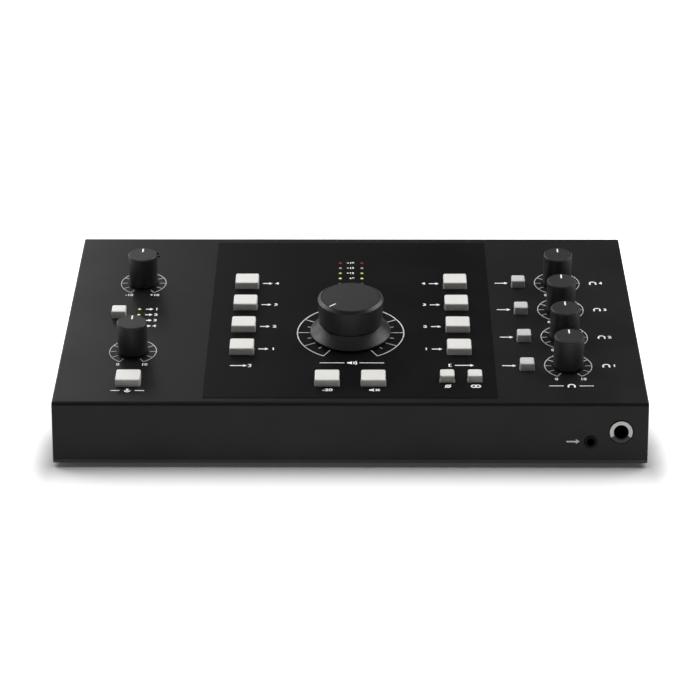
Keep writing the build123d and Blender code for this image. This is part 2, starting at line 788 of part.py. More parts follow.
# Volume knob: a waisted body with a broad chamfer round its flat top, on its shaft
volume_plane = Plane(origin=panel.from_local_coords((0, volume_v, 0)), x_dir=(1, 0, 0),
                     z_dir=(0, -cos(slope), -sin(slope)))
volume_axis = Axis(volume_plane.origin, panel.z_dir)
hub_radius = volume_nut_across / 2
hub_bottom = volume_bushing_reach + seam_gap
volume_shaft_top = volume_knob_height - shaft_cover
volume_shaft = make_shaft((0, volume_v), volume_pot_height / 4 + seam_gap - board_drop,
                          hub_bottom - shaft_gap, volume_shaft_top)
with BuildPart() as volume_knob:
    with BuildSketch(volume_plane):
        with BuildLine():
            Polyline((volume_waist_radius, skirt_height), (hub_radius, skirt_height),
                     (hub_radius, hub_bottom), (0, hub_bottom), (0, volume_knob_height),
                     (volume_face_radius, volume_knob_height),
                     (volume_top_radius, volume_knob_height - volume_chamfer_height))
            RadiusArc((volume_top_radius, volume_knob_height - volume_chamfer_height),
                      (volume_waist_radius, skirt_height), volume_side_radius)
        make_face()
    revolve(axis=volume_axis)
    with BuildSketch(panel.offset(hub_bottom)):
        with Locations((0, volume_v)):
            add(socket_section)
    extrude(amount=volume_shaft_top + shaft_gap - hub_bottom, mode=Mode.SUBTRACT)
    with BuildSketch(panel.offset(volume_knob_height)):
        with Locations(Location((0, volume_v, 0), (0, 0, volume_pointer_angle))):
            with Locations((0, volume_face_radius - volume_groove_margin)):
                Rectangle(groove_width, volume_groove_length, align=(Align.CENTER, Align.MAX))
    extrude(amount=-groove_depth, mode=Mode.SUBTRACT)
    add(volume_shaft)
finish(volume_knob.part, "volume_knob")

# Skirt: a dished disc that the knob stands on, hollow over the nut
skirt_bottom = overlay_sheet + skirt_lift
with BuildPart() as volume_skirt:
    with BuildSketch(volume_plane):
        with BuildLine():
            Polyline((skirt_neck_radius, skirt_height), (hub_radius + shaft_gap, skirt_height),
                     (hub_radius + shaft_gap, hub_bottom + skirt_edge),
                     (skirt_neck_radius - 2 * skirt_edge, hub_bottom),
                     (skirt_radius - 2 * skirt_edge, skirt_bottom),
                     (skirt_radius, skirt_bottom), (skirt_radius, skirt_bottom + skirt_edge))
            RadiusArc((skirt_radius, skirt_bottom + skirt_edge), (skirt_neck_radius, skirt_height),
                      skirt_flare_radius)
        make_face()
    revolve(axis=volume_axis)
finish(volume_skirt.part, "volume_skirt")


def make_lenses(places, drop):
    """Round light pipes from a board up through the panel, bevelled at the top."""
    with BuildPart() as lenses:
        with BuildSketch(panel.offset(-drop)):
            with Locations(*places):
                Circle(lens_radius + lens_collar)
        extrude(amount=drop - sheet - under_gap)
        with BuildSketch(panel.offset(-sheet - under_gap)):
            with Locations(*places):
                Circle(lens_radius)
        extrude(amount=sheet + under_gap + overlay_sheet + lens_stand)
        tops = lenses.faces().group_by(panel_axis)[-1]
        chamfer(tops.edges(), lens_bevel)
    return lenses.part


finish(make_lenses(meter_places, meter_drop), "meter_lamps")
finish(make_lenses(lamp_places, board_drop), "source_lamps")

# Talkback microphone: a capsule in a boot under its holes
with BuildPart() as talkback_mic:
    with BuildSketch(panel.offset(-sheet)):
        with Locations((-talk_x, mic_v)):
            Circle(mic_boot_radius)
            Circle(mic_capsule_radius, mode=Mode.SUBTRACT)
    extrude(amount=-mic_boot_height)
    with BuildSketch(panel.offset(-sheet - seam_gap)):
        with Locations((-talk_x, mic_v)):
            Circle(mic_capsule_radius - shaft_gap)
    extrude(amount=-(mic_boot_height - seam_gap))
finish(talkback_mic.part, "talkback_mic")

# Front headphone jack: body, nose through the front face, and the lip at its mouth
body_face = -sheet - front_jack_setback
with BuildPart() as front_jack:
    with BuildSketch(face.offset(body_face)):
        with Locations((front_jack_x, -front_jack_down)):
            Rectangle(jack_body_width, jack_body_height)
    extrude(amount=-jack_body_depth)
    with BuildSketch(face.offset(body_face)):
        with Locations((front_jack_x, -front_jack_down)):
            Circle(nose_radius)
    extrude(amount=nose_stand - body_face)
    with BuildSketch(face.offset(nose_stand)):
        with Locations((front_jack_x, -front_jack_down)):
            Circle(nose_radius + ring_gap)
            Polygon((0, 0), *lip_corners, align=None, mode=Mode.SUBTRACT)
    extrude(amount=-ring_height, mode=Mode.SUBTRACT)
    with BuildSketch(face.offset(nose_stand)):
        with Locations((front_jack_x, -front_jack_down)):
            Circle(ring_inner)
    extrude(amount=-ring_height, mode=Mode.SUBTRACT)
    with BuildSketch(face.offset(nose_stand)):
        with Locations((front_jack_x, -front_jack_down)):
            Circle(jack_bore)
    extrude(amount=body_face - nose_stand - jack_body_depth + jack_wall, mode=Mode.SUBTRACT)
finish(front_jack.part, "front_jack")

# Metal ring seated on the nose, open at the bottom for the lip
with BuildPart() as front_jack_ring:
    with BuildSketch(face.offset(nose_stand - ring_height)):
        with Locations((front_jack_x, -front_jack_down)):
            Circle(nose_radius)
            Circle(ring_inner, mode=Mode.SUBTRACT)
            Polygon((0, 2 * ring_gap), *ring_corners, align=None, mode=Mode.SUBTRACT)
    extrude(amount=ring_height)
finish(front_jack_ring.part, "front_jack_ring")

# Small sockets: one beside the headphone jack and one on the rear panel, with its foot on the board
wall_inner = -sheet - front_jack_setback
rear_leg = jack_body_depth - front_jack_setback - mini_depth
with BuildPart() as mini_jacks:
    for plane, place in ((face, (front_mini_x, -front_mini_down)), (back, (-aux_x, lower_row))):
        with BuildSketch(plane.offset(wall_inner)):
            with Locations(place):
                Rectangle(mini_width, mini_height)
        extrude(amount=-mini_depth)
        with BuildSketch(plane.offset(wall_inner)):
            with Locations(place):
                Circle(mini_nose)
        extrude(amount=mini_reach - wall_inner)
        with BuildSketch(plane.offset(mini_reach)):
            with Locations(place):
                Circle(mini_bore)
        extrude(amount=wall_inner - mini_reach - mini_depth + jack_wall, mode=Mode.SUBTRACT)
    with BuildSketch(back.offset(wall_inner - mini_depth)):
        with Locations((-aux_x, lower_row)):
            Rectangle(mini_width / 2, mini_height / 2)
    extrude(amount=-rear_leg)
finish(mini_jacks.part, "mini_jacks")

# Headphone board, under the front sockets and square to the front face
with BuildPart() as headphone_board:
    with BuildSketch(face.offset(body_face)):
        with Locations((phones_board_x, -front_jack_down - jack_body_height / 2)):
            Rectangle(phones_board_width, board_sheet, align=(Align.CENTER, Align.MAX))
    extrude(amount=-phones_board_depth)
finish(headphone_board.part, "headphone_board")

# Rear jacks: two rows of bodies with threaded barrels through the panel
with BuildPart() as rear_jacks:
    with BuildSketch(back.offset(-sheet)):
        with Locations(*jack_places):
            Rectangle(jack_body_width, jack_body_height)
    extrude(amount=-jack_body_depth)
    with BuildSketch(back.offset(-sheet)):
        with Locations(*jack_places):
            Circle(jack_barrel)
    extrude(amount=sheet + jack_barrel_reach)
    with BuildSketch(back.offset(jack_barrel_reach)):
        with Locations(*jack_places):
            Circle(jack_bore)
    extrude(amount=-(jack_barrel_reach + sheet + jack_body_depth - jack_wall), mode=Mode.SUBTRACT)
finish(rear_jacks.part, "rear_jacks")

with BuildPart() as rear_jack_nuts:
    with BuildSketch(back):
        with Locations(*jack_places):
            RegularPolygon(jack_nut_across / 2, 6, major_radius=False)
            Circle(jack_barrel + shaft_gap, mode=Mode.SUBTRACT)
    extrude(amount=jack_nut_height)
finish(rear_jack_nuts.part, "rear_jack_nuts")

# Phono sockets: a round collar and a plated shell on a square body
with BuildPart() as phono_sockets:
    with BuildSketch(back.offset(-sheet)):
        with Locations(*phono_places):
            Rectangle(2 * phono_collar, 2 * phono_collar)
    extrude(amount=-jack_body_depth)
    with BuildSketch(back.offset(-sheet)):
        with Locations(*phono_places):
            Circle(phono_collar)
    extrude(amount=2 * sheet)
    with BuildSketch(back.offset(sheet)):
        with Locations(*phono_places):
            Circle(phono_shell)
    extrude(amount=phono_reach - sheet)
    with BuildSketch(back.offset(phono_reach)):
        with Locations(*phono_places):
            Circle(phono_bore)
    extrude(amount=-2 * phono_reach, mode=Mode.SUBTRACT)
finish(phono_sockets.part, "phono_sockets")

# Optical socket: a square receptacle with a small fibre seat at the back
with BuildPart() as optical_socket:
    with BuildSketch(back.offset(optical_reach)):
        with Locations((-digital_in_x, lower_row)):
            Rectangle(optical_width, optical_height)
    extrude(amount=-(optical_reach + sheet + jack_body_depth))
    with BuildSketch(back.offset(optical_reach)):
        with Locations((-digital_in_x, lower_row)):
            RectangleRounded(optical_mouth, optical_mouth, cap_corner)
    extrude(amount=-optical_mouth, mode=Mode.SUBTRACT)
    with BuildSketch(back.offset(optical_reach - optical_mouth)):
        with Locations((-digital_in_x, lower_row)):
            Circle(lens_radius)
    extrude(amount=-optical_mouth, mode=Mode.SUBTRACT)
finish(optical_socket.part, "optical_socket")

# Power inlet: a barrel socket with its centre pin
with BuildPart() as power_inlet:
    with BuildSketch(back.offset(optical_reach)):
        with Locations((-power_in_x, lower_row)):
            Rectangle(inlet_width, inlet_height)
    extrude(amount=-(optical_reach + sheet + inlet_depth))
    with BuildSketch(back.offset(optical_reach)):
        with Locations((-power_in_x, lower_row)):
            Circle(inlet_bore)
            Circle(inlet_pin, mode=Mode.SUBTRACT)
    extrude(amount=-(optical_reach + sheet + inlet_depth - 2 * jack_wall), mode=Mode.SUBTRACT)
    with BuildSketch(back.offset(-sheet - inlet_depth)):
        with Locations((-power_in_x, lower_row)):
            Rectangle(inlet_width / 2, inlet_height / 2)
    extrude(amount=inlet_depth - jack_body_depth)
finish(power_inlet.part, "power_inlet")

# Power switch: a bezel and housing that snap into the rear panel, and the rocker
switch_z = (lower_row + upper_row) / 2
cavity_width = rocker_width + 2 * rocker_gap
cavity_height = 2 * (rocker_swing_radius + rocker_gap)
pivot = (rear_outer_y - rocker_pivot, tray_top + switch_z)
with BuildPart() as power_switch:
    with BuildSketch(back):
        with Locations((-power_switch_x, switch_z)):
            RectangleRounded(cavity_width + 2 * switch_bezel_rim, cavity_height + 2 * switch_bezel_rim,
                             cap_corner)
    extrude(amount=switch_bezel)
    chamfer(power_switch.faces().sort_by(Axis.Y)[-1].edges(), cap_edge)
    with BuildSketch(back):
        with Locations((-power_switch_x, switch_z)):
            Rectangle(cavity_width + 2 * switch_wall, cavity_height + 2 * switch_wall)
    extrude(amount=-switch_body_depth)
    with BuildSketch(back.offset(switch_bezel)):
        with Locations((-power_switch_x, switch_z)):
            Rectangle(cavity_width, cavity_height)
    extrude(amount=-(switch_bezel + switch_body_depth - switch_wall), mode=Mode.SUBTRACT)
    with BuildSketch(Plane.YZ.offset(power_switch_x)):
        with Locations(pivot):
            Circle(rocker_pin_radius + shaft_gap)
    extrude(amount=cavity_width / 2 + rocker_pin_reach, both=True, mode=Mode.SUBTRACT)
finish(power_switch.part, "power_switch")

with BuildPart() as power_rocker:
    with BuildSketch(Plane.YZ.offset(power_switch_x)):
        with Locations(Location((*pivot, 0), (0, 0, rocker_tilt))):
            Circle(rocker_swing_radius)
            Polygon((-rocker_depth / 2, -rocker_swing_radius), (rocker_lobe, -rocker_swing_radius),
                    (rocker_crown, 0), (rocker_lobe, rocker_swing_radius),
                    (-rocker_depth / 2, rocker_swing_radius), align=None, mode=Mode.INTERSECT)
    extrude(amount=rocker_width / 2, both=True)
    with BuildSketch(Plane.YZ.offset(power_switch_x)):
        with Locations(pivot):
            Circle(rocker_pin_radius)
    extrude(amount=rocker_width / 2 + rocker_pin_reach, both=True)
finish(power_rocker.part, "power_rocker")

# Components on the main board
board_top = main_z + board_sheet
with BuildPart() as relays:
    with BuildSketch(Plane.XY.offset(board_top)):
        with Locations((0, main_board_end - relay_inset)):
            with GridLocations(relay_pitch, 0, relay_count, 1):
                Rectangle(*relay_size)
    extrude(amount=relay_height)
    chamfer(relays.faces().group_by(Axis.Z)[-1].edges(), cap_edge)
finish(relays.part, "relays")

with BuildPart() as capacitors:
    with BuildSketch(Plane.XY.offset(board_top)):
        with Locations((0, main_board_end - capacitor_inset)):
            with GridLocations(capacitor_pitch, 0, capacitor_count, 1):
                Circle(capacitor_radius)
    extrude(amount=capacitor_height)
    chamfer(capacitors.faces().group_by(Axis.Z)[-1].edges(), cap_edge)
finish(capacitors.part, "capacitors")

with BuildPart() as amplifier_chips:
    with BuildSketch(Plane.XY.offset(board_top)):
        with Locations((0, main_board_edge + chip_inset)):
            with GridLocations(chip_pitch, chip_pitch, chip_columns, chip_rows):
                Rectangle(*chip_size)
    extrude(amount=chip_height)
finish(amplifier_chips.part, "amplifier_chips")

# Ribbon cable between the main board and the control board, with its two connectors
ribbon_low = (main_board_edge + ribbon_start, board_top + ribbon_plug_height)
ribbon_end = main_board_front + ribbon_start + ribbon_rise
ribbon_joint = panel.from_local_coords((0, ribbon_end, -board_drop - board_sheet - ribbon_plug_height))
ribbon_high = (ribbon_joint.Y, ribbon_joint.Z + ribbon_thickness)
ribbon_middle = (ribbon_low[1] + ribbon_high[1]) / 2
with BuildPart() as ribbon_cable:
    with BuildSketch(Plane.YZ):
        with BuildLine():
            FilletPolyline(ribbon_low, (ribbon_low[0], ribbon_middle), (ribbon_high[0], ribbon_middle),
                           ribbon_high, radius=ribbon_bend)
        trace(line_width=ribbon_thickness)
    extrude(amount=ribbon_width / 2 - header_width / 2, both=True)
    with BuildSketch(Plane.XY.offset(board_top)):
        with Locations((0, ribbon_low[0])):
            Rectangle(ribbon_width, 2 * header_width)
    extrude(amount=ribbon_plug_height)
    with BuildSketch(panel.offset(-board_drop - board_sheet)):
        with Locations((0, ribbon_end)):
            Rectangle(ribbon_width, 2 * header_width)
    extrude(amount=-ribbon_plug_height)
finish(ribbon_cable.part, "ribbon_cable")
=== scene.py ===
import math

import bmesh
import bpy
from mathutils import Matrix, Vector


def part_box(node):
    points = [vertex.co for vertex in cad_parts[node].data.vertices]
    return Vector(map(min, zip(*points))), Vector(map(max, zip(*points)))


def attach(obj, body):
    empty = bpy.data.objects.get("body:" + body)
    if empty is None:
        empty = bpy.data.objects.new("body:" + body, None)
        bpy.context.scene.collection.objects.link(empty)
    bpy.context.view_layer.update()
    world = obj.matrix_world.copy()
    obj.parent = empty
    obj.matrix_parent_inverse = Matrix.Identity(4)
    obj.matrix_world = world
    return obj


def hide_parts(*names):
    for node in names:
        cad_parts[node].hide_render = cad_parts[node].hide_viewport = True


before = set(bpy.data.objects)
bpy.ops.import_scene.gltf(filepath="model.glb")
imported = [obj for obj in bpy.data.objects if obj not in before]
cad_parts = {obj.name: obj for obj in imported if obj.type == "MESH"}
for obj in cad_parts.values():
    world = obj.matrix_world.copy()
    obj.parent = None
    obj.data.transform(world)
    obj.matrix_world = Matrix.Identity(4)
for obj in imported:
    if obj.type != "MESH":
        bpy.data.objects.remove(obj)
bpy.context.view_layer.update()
scene = bpy.context.scene
mm = 0.001  # every piece is drawn in millimetres and placed in metres
print("stage: frame loaded")


def newObject(name, data):
    made = bpy.data.objects.new(name, data)
    scene.collection.objects.link(made)
    return made


camera = {"lens": 128.15, "clipEnd": 20, "place": (0.00535, -1.13286, 0.49937), "down": 22.78, "roll": 0.05,
          "turn": 0.27}
cameraObject = newObject("camera", bpy.data.cameras.new("camera"))
cameraObject.data.lens = camera["lens"]
cameraObject.data.clip_end = camera["clipEnd"]
cameraObject.location = camera["place"]
aimed = (90 - camera["down"], camera["roll"], camera["turn"])
cameraObject.rotation_euler = [math.radians(angle) for angle in aimed]
scene.camera = cameraObject

# The case's planes: control panel, front face, rear panel and underside
case = {"slope": 7.5, "lean": 7.1, "frontHeight": 28.85, "footHeight": 2.4}
slope, lean = math.radians(case["slope"]), math.radians(case["lean"])
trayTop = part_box("base_tray")[1].z
bendZ = (case["footHeight"] + case["frontHeight"]) * mm
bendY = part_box("top_cover")[0].y + (bendZ - trayTop) * math.tan(lean)
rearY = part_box("rear_panel")[1].y


def space(origin, right, up):
    right, up = Vector(right), Vector(up)
    turned = Matrix((right, up, right.cross(up))).transposed().to_4x4()
    turned.translation = Vector(origin)
    return turned @ Matrix.Scale(mm, 4)


panelSpace = space((0, bendY, bendZ), (1, 0, 0), (0, math.cos(slope), math.sin(slope)))
faceSpace = space((0, bendY, bendZ), (1, 0, 0), (0, math.sin(lean), math.cos(lean)))
backSpace = space((0, rearY, trayTop), (-1, 0, 0), (0, 0, 1))
underSpace = space((0, 0, case["footHeight"] * mm), (1, 0, 0), (0, -1, 0))


def at(where, x, y, z=0.0, turn=0.0):
    return where @ Matrix.Translation((x, y, z)) @ Matrix.Rotation(math.radians(turn), 4, "Z")


# an input of a node is given as a value, or as the socket that feeds it
def feed(tree, node, inputs):
    for name, value in inputs.items():
        if isinstance(value, bpy.types.NodeSocket):
            tree.links.new(value, node.inputs[name])
        else:
            node.inputs[name].default_value = value


def addNode(tree, kind, inputs=None):
    node = tree.nodes.new(kind)
    feed(tree, node, inputs or {})
    return node


def addMath(tree, operation, *inputs, kind="ShaderNodeMath"):
    node = tree.nodes.new(kind)
    node.operation = operation
    feed(tree, node, dict(enumerate(inputs)))
    return node.outputs[0]


# materials: colour that varies a little, roughness that varies, and a fine bump
surface = {"noiseRange": (0.3, 0.7), "cloudDetail": 4, "grainDetail": 3, "smoothest": 0.02, "coatRough": 0.12,
           "scatter": (1, 0.9, 0.8), "scatterDepth": 1.5}


def makeMaterial(name, colour, rough, metal=0.0, spread=0.12, grain=900.0, bump=0.08, depth=0.05,
                 cloud=30.0, roughSpread=0.06, shine=0.5, coat=0.0, glow=None, through=0.0, stretch=(1, 1, 1),
                 turned=0.0):
    material = bpy.data.materials.new(name)
    material.use_nodes = True
    tree = material.node_tree
    place = addNode(tree, "ShaderNodeTexCoord")
    mapping = addNode(tree, "ShaderNodeMapping", {"Vector": place.outputs["Object"], "Scale": stretch})
    slow, fine = [addNode(tree, "ShaderNodeTexNoise",
                          {"Vector": mapping.outputs["Vector"], "Scale": scale, "Detail": detail})
                  for scale, detail in ((cloud, surface["cloudDetail"]), (grain, surface["grainDetail"]))]
    half = addMath(tree, "MULTIPLY", slow.outputs["Fac"], 0.5)
    blend = addMath(tree, "MULTIPLY_ADD", fine.outputs["Fac"], 0.5, half)
    ramp = addNode(tree, "ShaderNodeValToRGB", {"Fac": blend})
    low, high = surface["noiseRange"]
    for stop, position, change in zip(ramp.color_ramp.elements, (low, high), (-spread, spread)):
        stop.position = position
        stop.color = [min(1, c * (1 + change)) for c in colour] + [1]
    spreadRough = addNode(tree, "ShaderNodeMapRange", {
        "Value": slow.outputs["Fac"], "From Min": low, "From Max": high,
        "To Min": max(surface["smoothest"], rough - roughSpread), "To Max": min(1.0, rough + roughSpread)})
    values = {"Base Color": ramp.outputs["Color"], "Roughness": spreadRough.outputs["Result"],
              "Metallic": metal, "Specular IOR Level": shine}
    if bump > 0:
        relief = addNode(tree, "ShaderNodeBump",
                         {"Height": fine.outputs["Fac"], "Strength": bump, "Distance": depth * mm})
        values["Normal"] = relief.outputs["Normal"]
    if coat > 0:
        values.update({"Coat Weight": coat, "Coat Roughness": surface["coatRough"]})
    if through > 0:
        values.update({"Subsurface Weight": through, "Subsurface Radius": surface["scatter"],
                       "Subsurface Scale": surface["scatterDepth"] * mm})
    if turned > 0:  # fine turning marks, which draw highlights out along the profile
        tangent = addNode(tree, "ShaderNodeTangent")
        tangent.direction_type = "UV_MAP"
        tangent.uv_map = "turned"
        values.update({"Tangent": tangent.outputs["Tangent"], "Anisotropic": turned})
    if glow:
        values.update({"Emission Color": (*glow[:3], 1), "Emission Strength": glow[3]})
    feed(tree, tree.nodes["Principled BSDF"], values)
    return material


finishes = {
    "cover": dict(colour=(0.0092, 0.0093, 0.0098), rough=0.38, shine=0.22, grain=1500, bump=0.25, depth=0.03),
    "tray": dict(colour=(0.03, 0.03, 0.031), rough=0.45, grain=1500, bump=0.2),
    "rear": dict(colour=(0.016, 0.016, 0.0165), rough=0.5, grain=1500, bump=0.25),
    "overlay": dict(colour=(0.0046, 0.0046, 0.0048), rough=0.38, shine=0.1, grain=2500, bump=0.1, depth=0.01),
    "rubber": dict(colour=(0.018, 0.018, 0.018), rough=0.8, grain=600, bump=0.3),
    "darkPlastic": dict(colour=(0.012, 0.012, 0.012), rough=0.42, grain=800, bump=0.15),
    "glossPlastic": dict(colour=(0.012, 0.012, 0.013), rough=0.22, bump=0.03),
    "steel": dict(colour=(0.5, 0.5, 0.5), rough=0.35, metal=1.0, stretch=(1, 30, 1), grain=300),
    "blackSteel": dict(colour=(0.09, 0.09, 0.095), rough=0.38, metal=1.0),
    "nickel": dict(colour=(0.66, 0.65, 0.62), rough=0.2, metal=1.0, spread=0.05),
    "satinNickel": dict(colour=(0.43, 0.425, 0.405), rough=0.42, metal=1.0, spread=0.06, grain=2000),
    "brass": dict(colour=(0.7, 0.52, 0.24), rough=0.3, metal=1.0),
    "gold": dict(colour=(0.83, 0.62, 0.27), rough=0.25, metal=1.0, spread=0.05),
    "solderMask": dict(colour=(0.01, 0.09, 0.035), rough=0.35, coat=0.4, cloud=160, spread=0.3),
    "ribbon": dict(colour=(0.36, 0.37, 0.39), rough=0.5, grain=800, stretch=(1, 0.02, 0.02), bump=0.6),
    "relay": dict(colour=(0.62, 0.62, 0.58), rough=0.4),
    "sleeve": dict(colour=(0.02, 0.025, 0.045), rough=0.3, coat=0.3),
    "knob": dict(colour=(0.023, 0.0235, 0.0245), rough=0.42, shine=0.38, grain=1200, bump=0.1),
    # painted light: the volume knob's face and side are lit copies of one black knob finish, both lighter than
    # the small knobs, the side lightest to stand in for light the skirt shades off
    "knobFacePaintedLight": dict(colour=(0.0305, 0.031, 0.0325), rough=0.34, grain=1500, bump=0.12),
    "knobSidePaintedLight": dict(colour=(0.038, 0.038, 0.039), rough=0.4, grain=1500, bump=0.1),
    "cutEdge": dict(colour=(0.066, 0.066, 0.065), rough=0.42, metal=1.0, spread=0.05, grain=2000, bump=0.05),
    "skirt": dict(colour=(0.097, 0.0975, 0.099), rough=0.5, metal=0.92, spread=0.08, grain=1500, bump=0.1,
                  turned=0.85),
    "cap": dict(colour=(0.76, 0.75, 0.72), rough=0.34, spread=0.03, grain=700, bump=0.04, through=0.08),
    "greyCap": dict(colour=(0.6, 0.6, 0.59), rough=0.34, spread=0.03, grain=700, bump=0.04, through=0.08),
    "ink": dict(colour=(0.68, 0.68, 0.67), rough=0.6, spread=0.05, bump=0.05),
    "signInk": dict(colour=(0.93, 0.93, 0.92), rough=0.6, spread=0.03, bump=0.05),
    "pointer": dict(colour=(0.94, 0.94, 0.93), rough=0.5, spread=0.03, bump=0.05),
    "miniJack": dict(colour=(0.005, 0.005, 0.005), rough=0.55, shine=0.12, grain=800, bump=0.1),
    "white": dict(colour=(0.75, 0.74, 0.7), rough=0.4, spread=0.04),
    "red": dict(colour=(0.5, 0.03, 0.02), rough=0.4),
    "orange": dict(colour=(0.75, 0.2, 0.02), rough=0.4),
}
look = {name: makeMaterial(name, **values) for name, values in finishes.items()}

# CAD nodes that stay in view, and the finish of each
nodeLooks = {
    "cover": ["top_cover"], "tray": ["base_tray"], "rear": ["rear_panel"], "overlay": ["centre_overlay"],
    "rubber": ["talkback_mic"],
    "darkPlastic": ["push_switches", "optical_socket", "power_inlet", "power_switch", "amplifier_chips",
                    "front_jack"],
    "miniJack": ["mini_jacks"],
    "steel": ["volume_pot", "small_pots"],
    "blackSteel": ["board_screws"], "nickel": ["pot_nuts"], "satinNickel": ["front_jack_ring"],
    "brass": ["board_standoffs"],
    "solderMask": ["control_board", "meter_board", "main_board", "jack_board", "headphone_board"],
    "ribbon": ["ribbon_cable"], "relay": ["relays"], "sleeve": ["capacitors"],
}
for finish, names in nodeLooks.items():
    for nodeName in names:
        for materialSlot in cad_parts[nodeName].material_slots:
            materialSlot.material = look[finish]
print("stage: materials")


# mesh tools
def loft(rings, loop=False, capStart=False, capEnd=False):
    bm = bmesh.new()
    steps = max(len(ring) for ring in rings)
    made = []
    for ring in rings:
        points = [bm.verts.new(point) for point in ring]
        made.append(points if len(points) > 1 else points * steps)
    pairs = list(zip(made, made[1:]))
    if loop:
        pairs.append((made[-1], made[0]))
    for low, high in pairs:
        for i in range(steps):
            j = (i + 1) % steps
            corners = list(dict.fromkeys((low[i], low[j], high[j], high[i])))
            if len(corners) > 2:
                bm.faces.new(corners)
    if capStart:
        bm.faces.new(made[0][::-1])
    if capEnd:
        bm.faces.new(made[-1])
    bmesh.ops.recalc_face_normals(bm, faces=bm.faces)
    return bm


def circle(radius, z, steps=64):
    if radius == 0:
        return [(0, 0, z)]
    turns = [2 * math.pi * i / steps for i in range(steps)]
    return [(radius * math.cos(a), radius * math.sin(a), z) for a in turns]


def lathe(profile, steps=64, loop=False):
    return loft([circle(radius, z, steps) for radius, z in profile], loop)


def rod(radius, bottom, top, steps=32):
    return lathe([(0, bottom), (radius, bottom), (radius, top), (0, top)], steps)


# the corners of a profile are rounded, with a guard point beyond each so that flats stay flat
rounding = {"leastTurn": 12, "share": 0.4, "guard": 0.1, "guardShare": 0.48}


def eased(profile, radius=0.15, steps=4):
    points = [profile[0]]
    for before, corner, after in zip(profile, profile[1:], profile[2:]):
        middle = Vector(corner)
        back, on = Vector(before) - middle, Vector(after) - middle
        turn = math.pi - back.angle(on)
        if turn < math.radians(rounding["leastTurn"]):
            points.append(corner)
            continue
        reach = min(radius * math.tan(turn / 2), *[rounding["share"] * arm.length for arm in (back, on)])
        start, end = [middle + arm.normalized() * reach for arm in (back, on)]
        guards = [middle + arm.normalized() * min(reach + rounding["guard"],
                                                  rounding["guardShare"] * arm.length) for arm in (back, on)]
        points.append(tuple(guards[0]))
        for i in range(steps + 1):
            k = i / steps
            points.append(tuple(start * (1 - k) ** 2 + middle * 2 * k * (1 - k) + end * k ** 2))
        points.append(tuple(guards[1]))
    return points + [profile[-1]]


def roundedRing(width, depth, corner, z, steps=6):
    points = []
    for quarter, (sx, sy) in enumerate(((1, 1), (-1, 1), (-1, -1), (1, -1))):
        for i in range(steps + 1):
            angle = math.pi / 2 * (quarter + i / steps)
            points.append((sx * (width / 2 - corner) + corner * math.cos(angle),
                           sy * (depth / 2 - corner) + corner * math.sin(angle), z))
    return points


def block(width, depth, corner, levels, leastCorner=0.05):
    rings = [roundedRing(width - 2 * inset, depth - 2 * inset, max(leastCorner, corner - inset), z)
             for inset, z in levels]
    return loft(rings, capStart=True, capEnd=True)


def fillet(radius, top, side=0.0, steps=5):
    turns = [math.pi / 2 * i / steps for i in range(steps + 1)]
    return [(side + radius - radius * math.cos(a), top - radius + radius * math.sin(a)) for a in turns]


def turnedMap(bm, scale=0.02):
    # a map for turned pieces: out along the profile, and round the axis
    layer = bm.loops.layers.uv.new("turned")
    for face in bm.faces:
        first = None
        for loop in face.loops:
            x, y, z = loop.vert.co
            around = math.atan2(y, x) / (2 * math.pi)
            if first is None:
                first = around
            around -= math.floor(around - first + 0.5)
            loop[layer].uv = ((math.hypot(x, y) - z) * scale, around)
    return bm


def slab(outline, bottom, top):
    low = [(x, y, bottom) for x, y in outline]
    high = [(x, y, top) for x, y in outline]
    return loft([low, high], capStart=True, capEnd=True)


def join(*parts):
    whole = bmesh.new()
    for part in parts:
        shape, where = part if isinstance(part, tuple) else (part, None)
        mesh = bpy.data.meshes.new("part")
        shape.to_mesh(mesh)
        if where is not None:
            mesh.transform(where)
        whole.from_mesh(mesh)
        bpy.data.meshes.remove(mesh)
    return whole


def toMesh(name, bm, where=None, sharp=32.0):
    for face in bm.faces:
        face.smooth = True
    for edge in bm.edges:
        edge.smooth = len(edge.link_faces) == 2 and edge.calc_face_angle(0) < math.radians(sharp)
    mesh = bpy.data.meshes.new(name)
    bm.to_mesh(mesh)
    bm.free()
    if where is not None:
        mesh.transform(where)
    return mesh


def addPiece(name, mesh, finish, body="chassis", replaces=()):
    piece = newObject(name, mesh)
    mesh.materials.clear()
    mesh.materials.append(look[finish])
    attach(piece, body)
    if replaces:
        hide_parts(*replaces)
    return piece


def addShape(name, shape, where, finish, body="chassis", replaces=(), sharp=32.0):
    return addPiece(name, toMesh(name, shape, where, sharp), finish, body, replaces)


# geometry nodes: a unit set down on points, and ticks round a dial
def newTree(name, sockets):
    tree = bpy.data.node_groups.new(name, "GeometryNodeTree")
    tree.interface.new_socket("Geometry", in_out="INPUT", socket_type="NodeSocketGeometry")
    for label, kind in sockets:
        tree.interface.new_socket(label, in_out="INPUT", socket_type=kind)
    tree.interface.new_socket("Geometry", in_out="OUTPUT", socket_type="NodeSocketGeometry")
    return tree, tree.nodes.new("NodeGroupInput"), tree.nodes.new("NodeGroupOutput")


def endTree(tree, source, outcome, shape):
    realize = addNode(tree, "GeometryNodeRealizeInstances", {0: shape})
    paint = addNode(tree, "GeometryNodeSetMaterial",
                    {"Geometry": realize.outputs[0], "Material": source.outputs["Material"]})
    tree.links.new(paint.outputs[0], outcome.inputs[0])


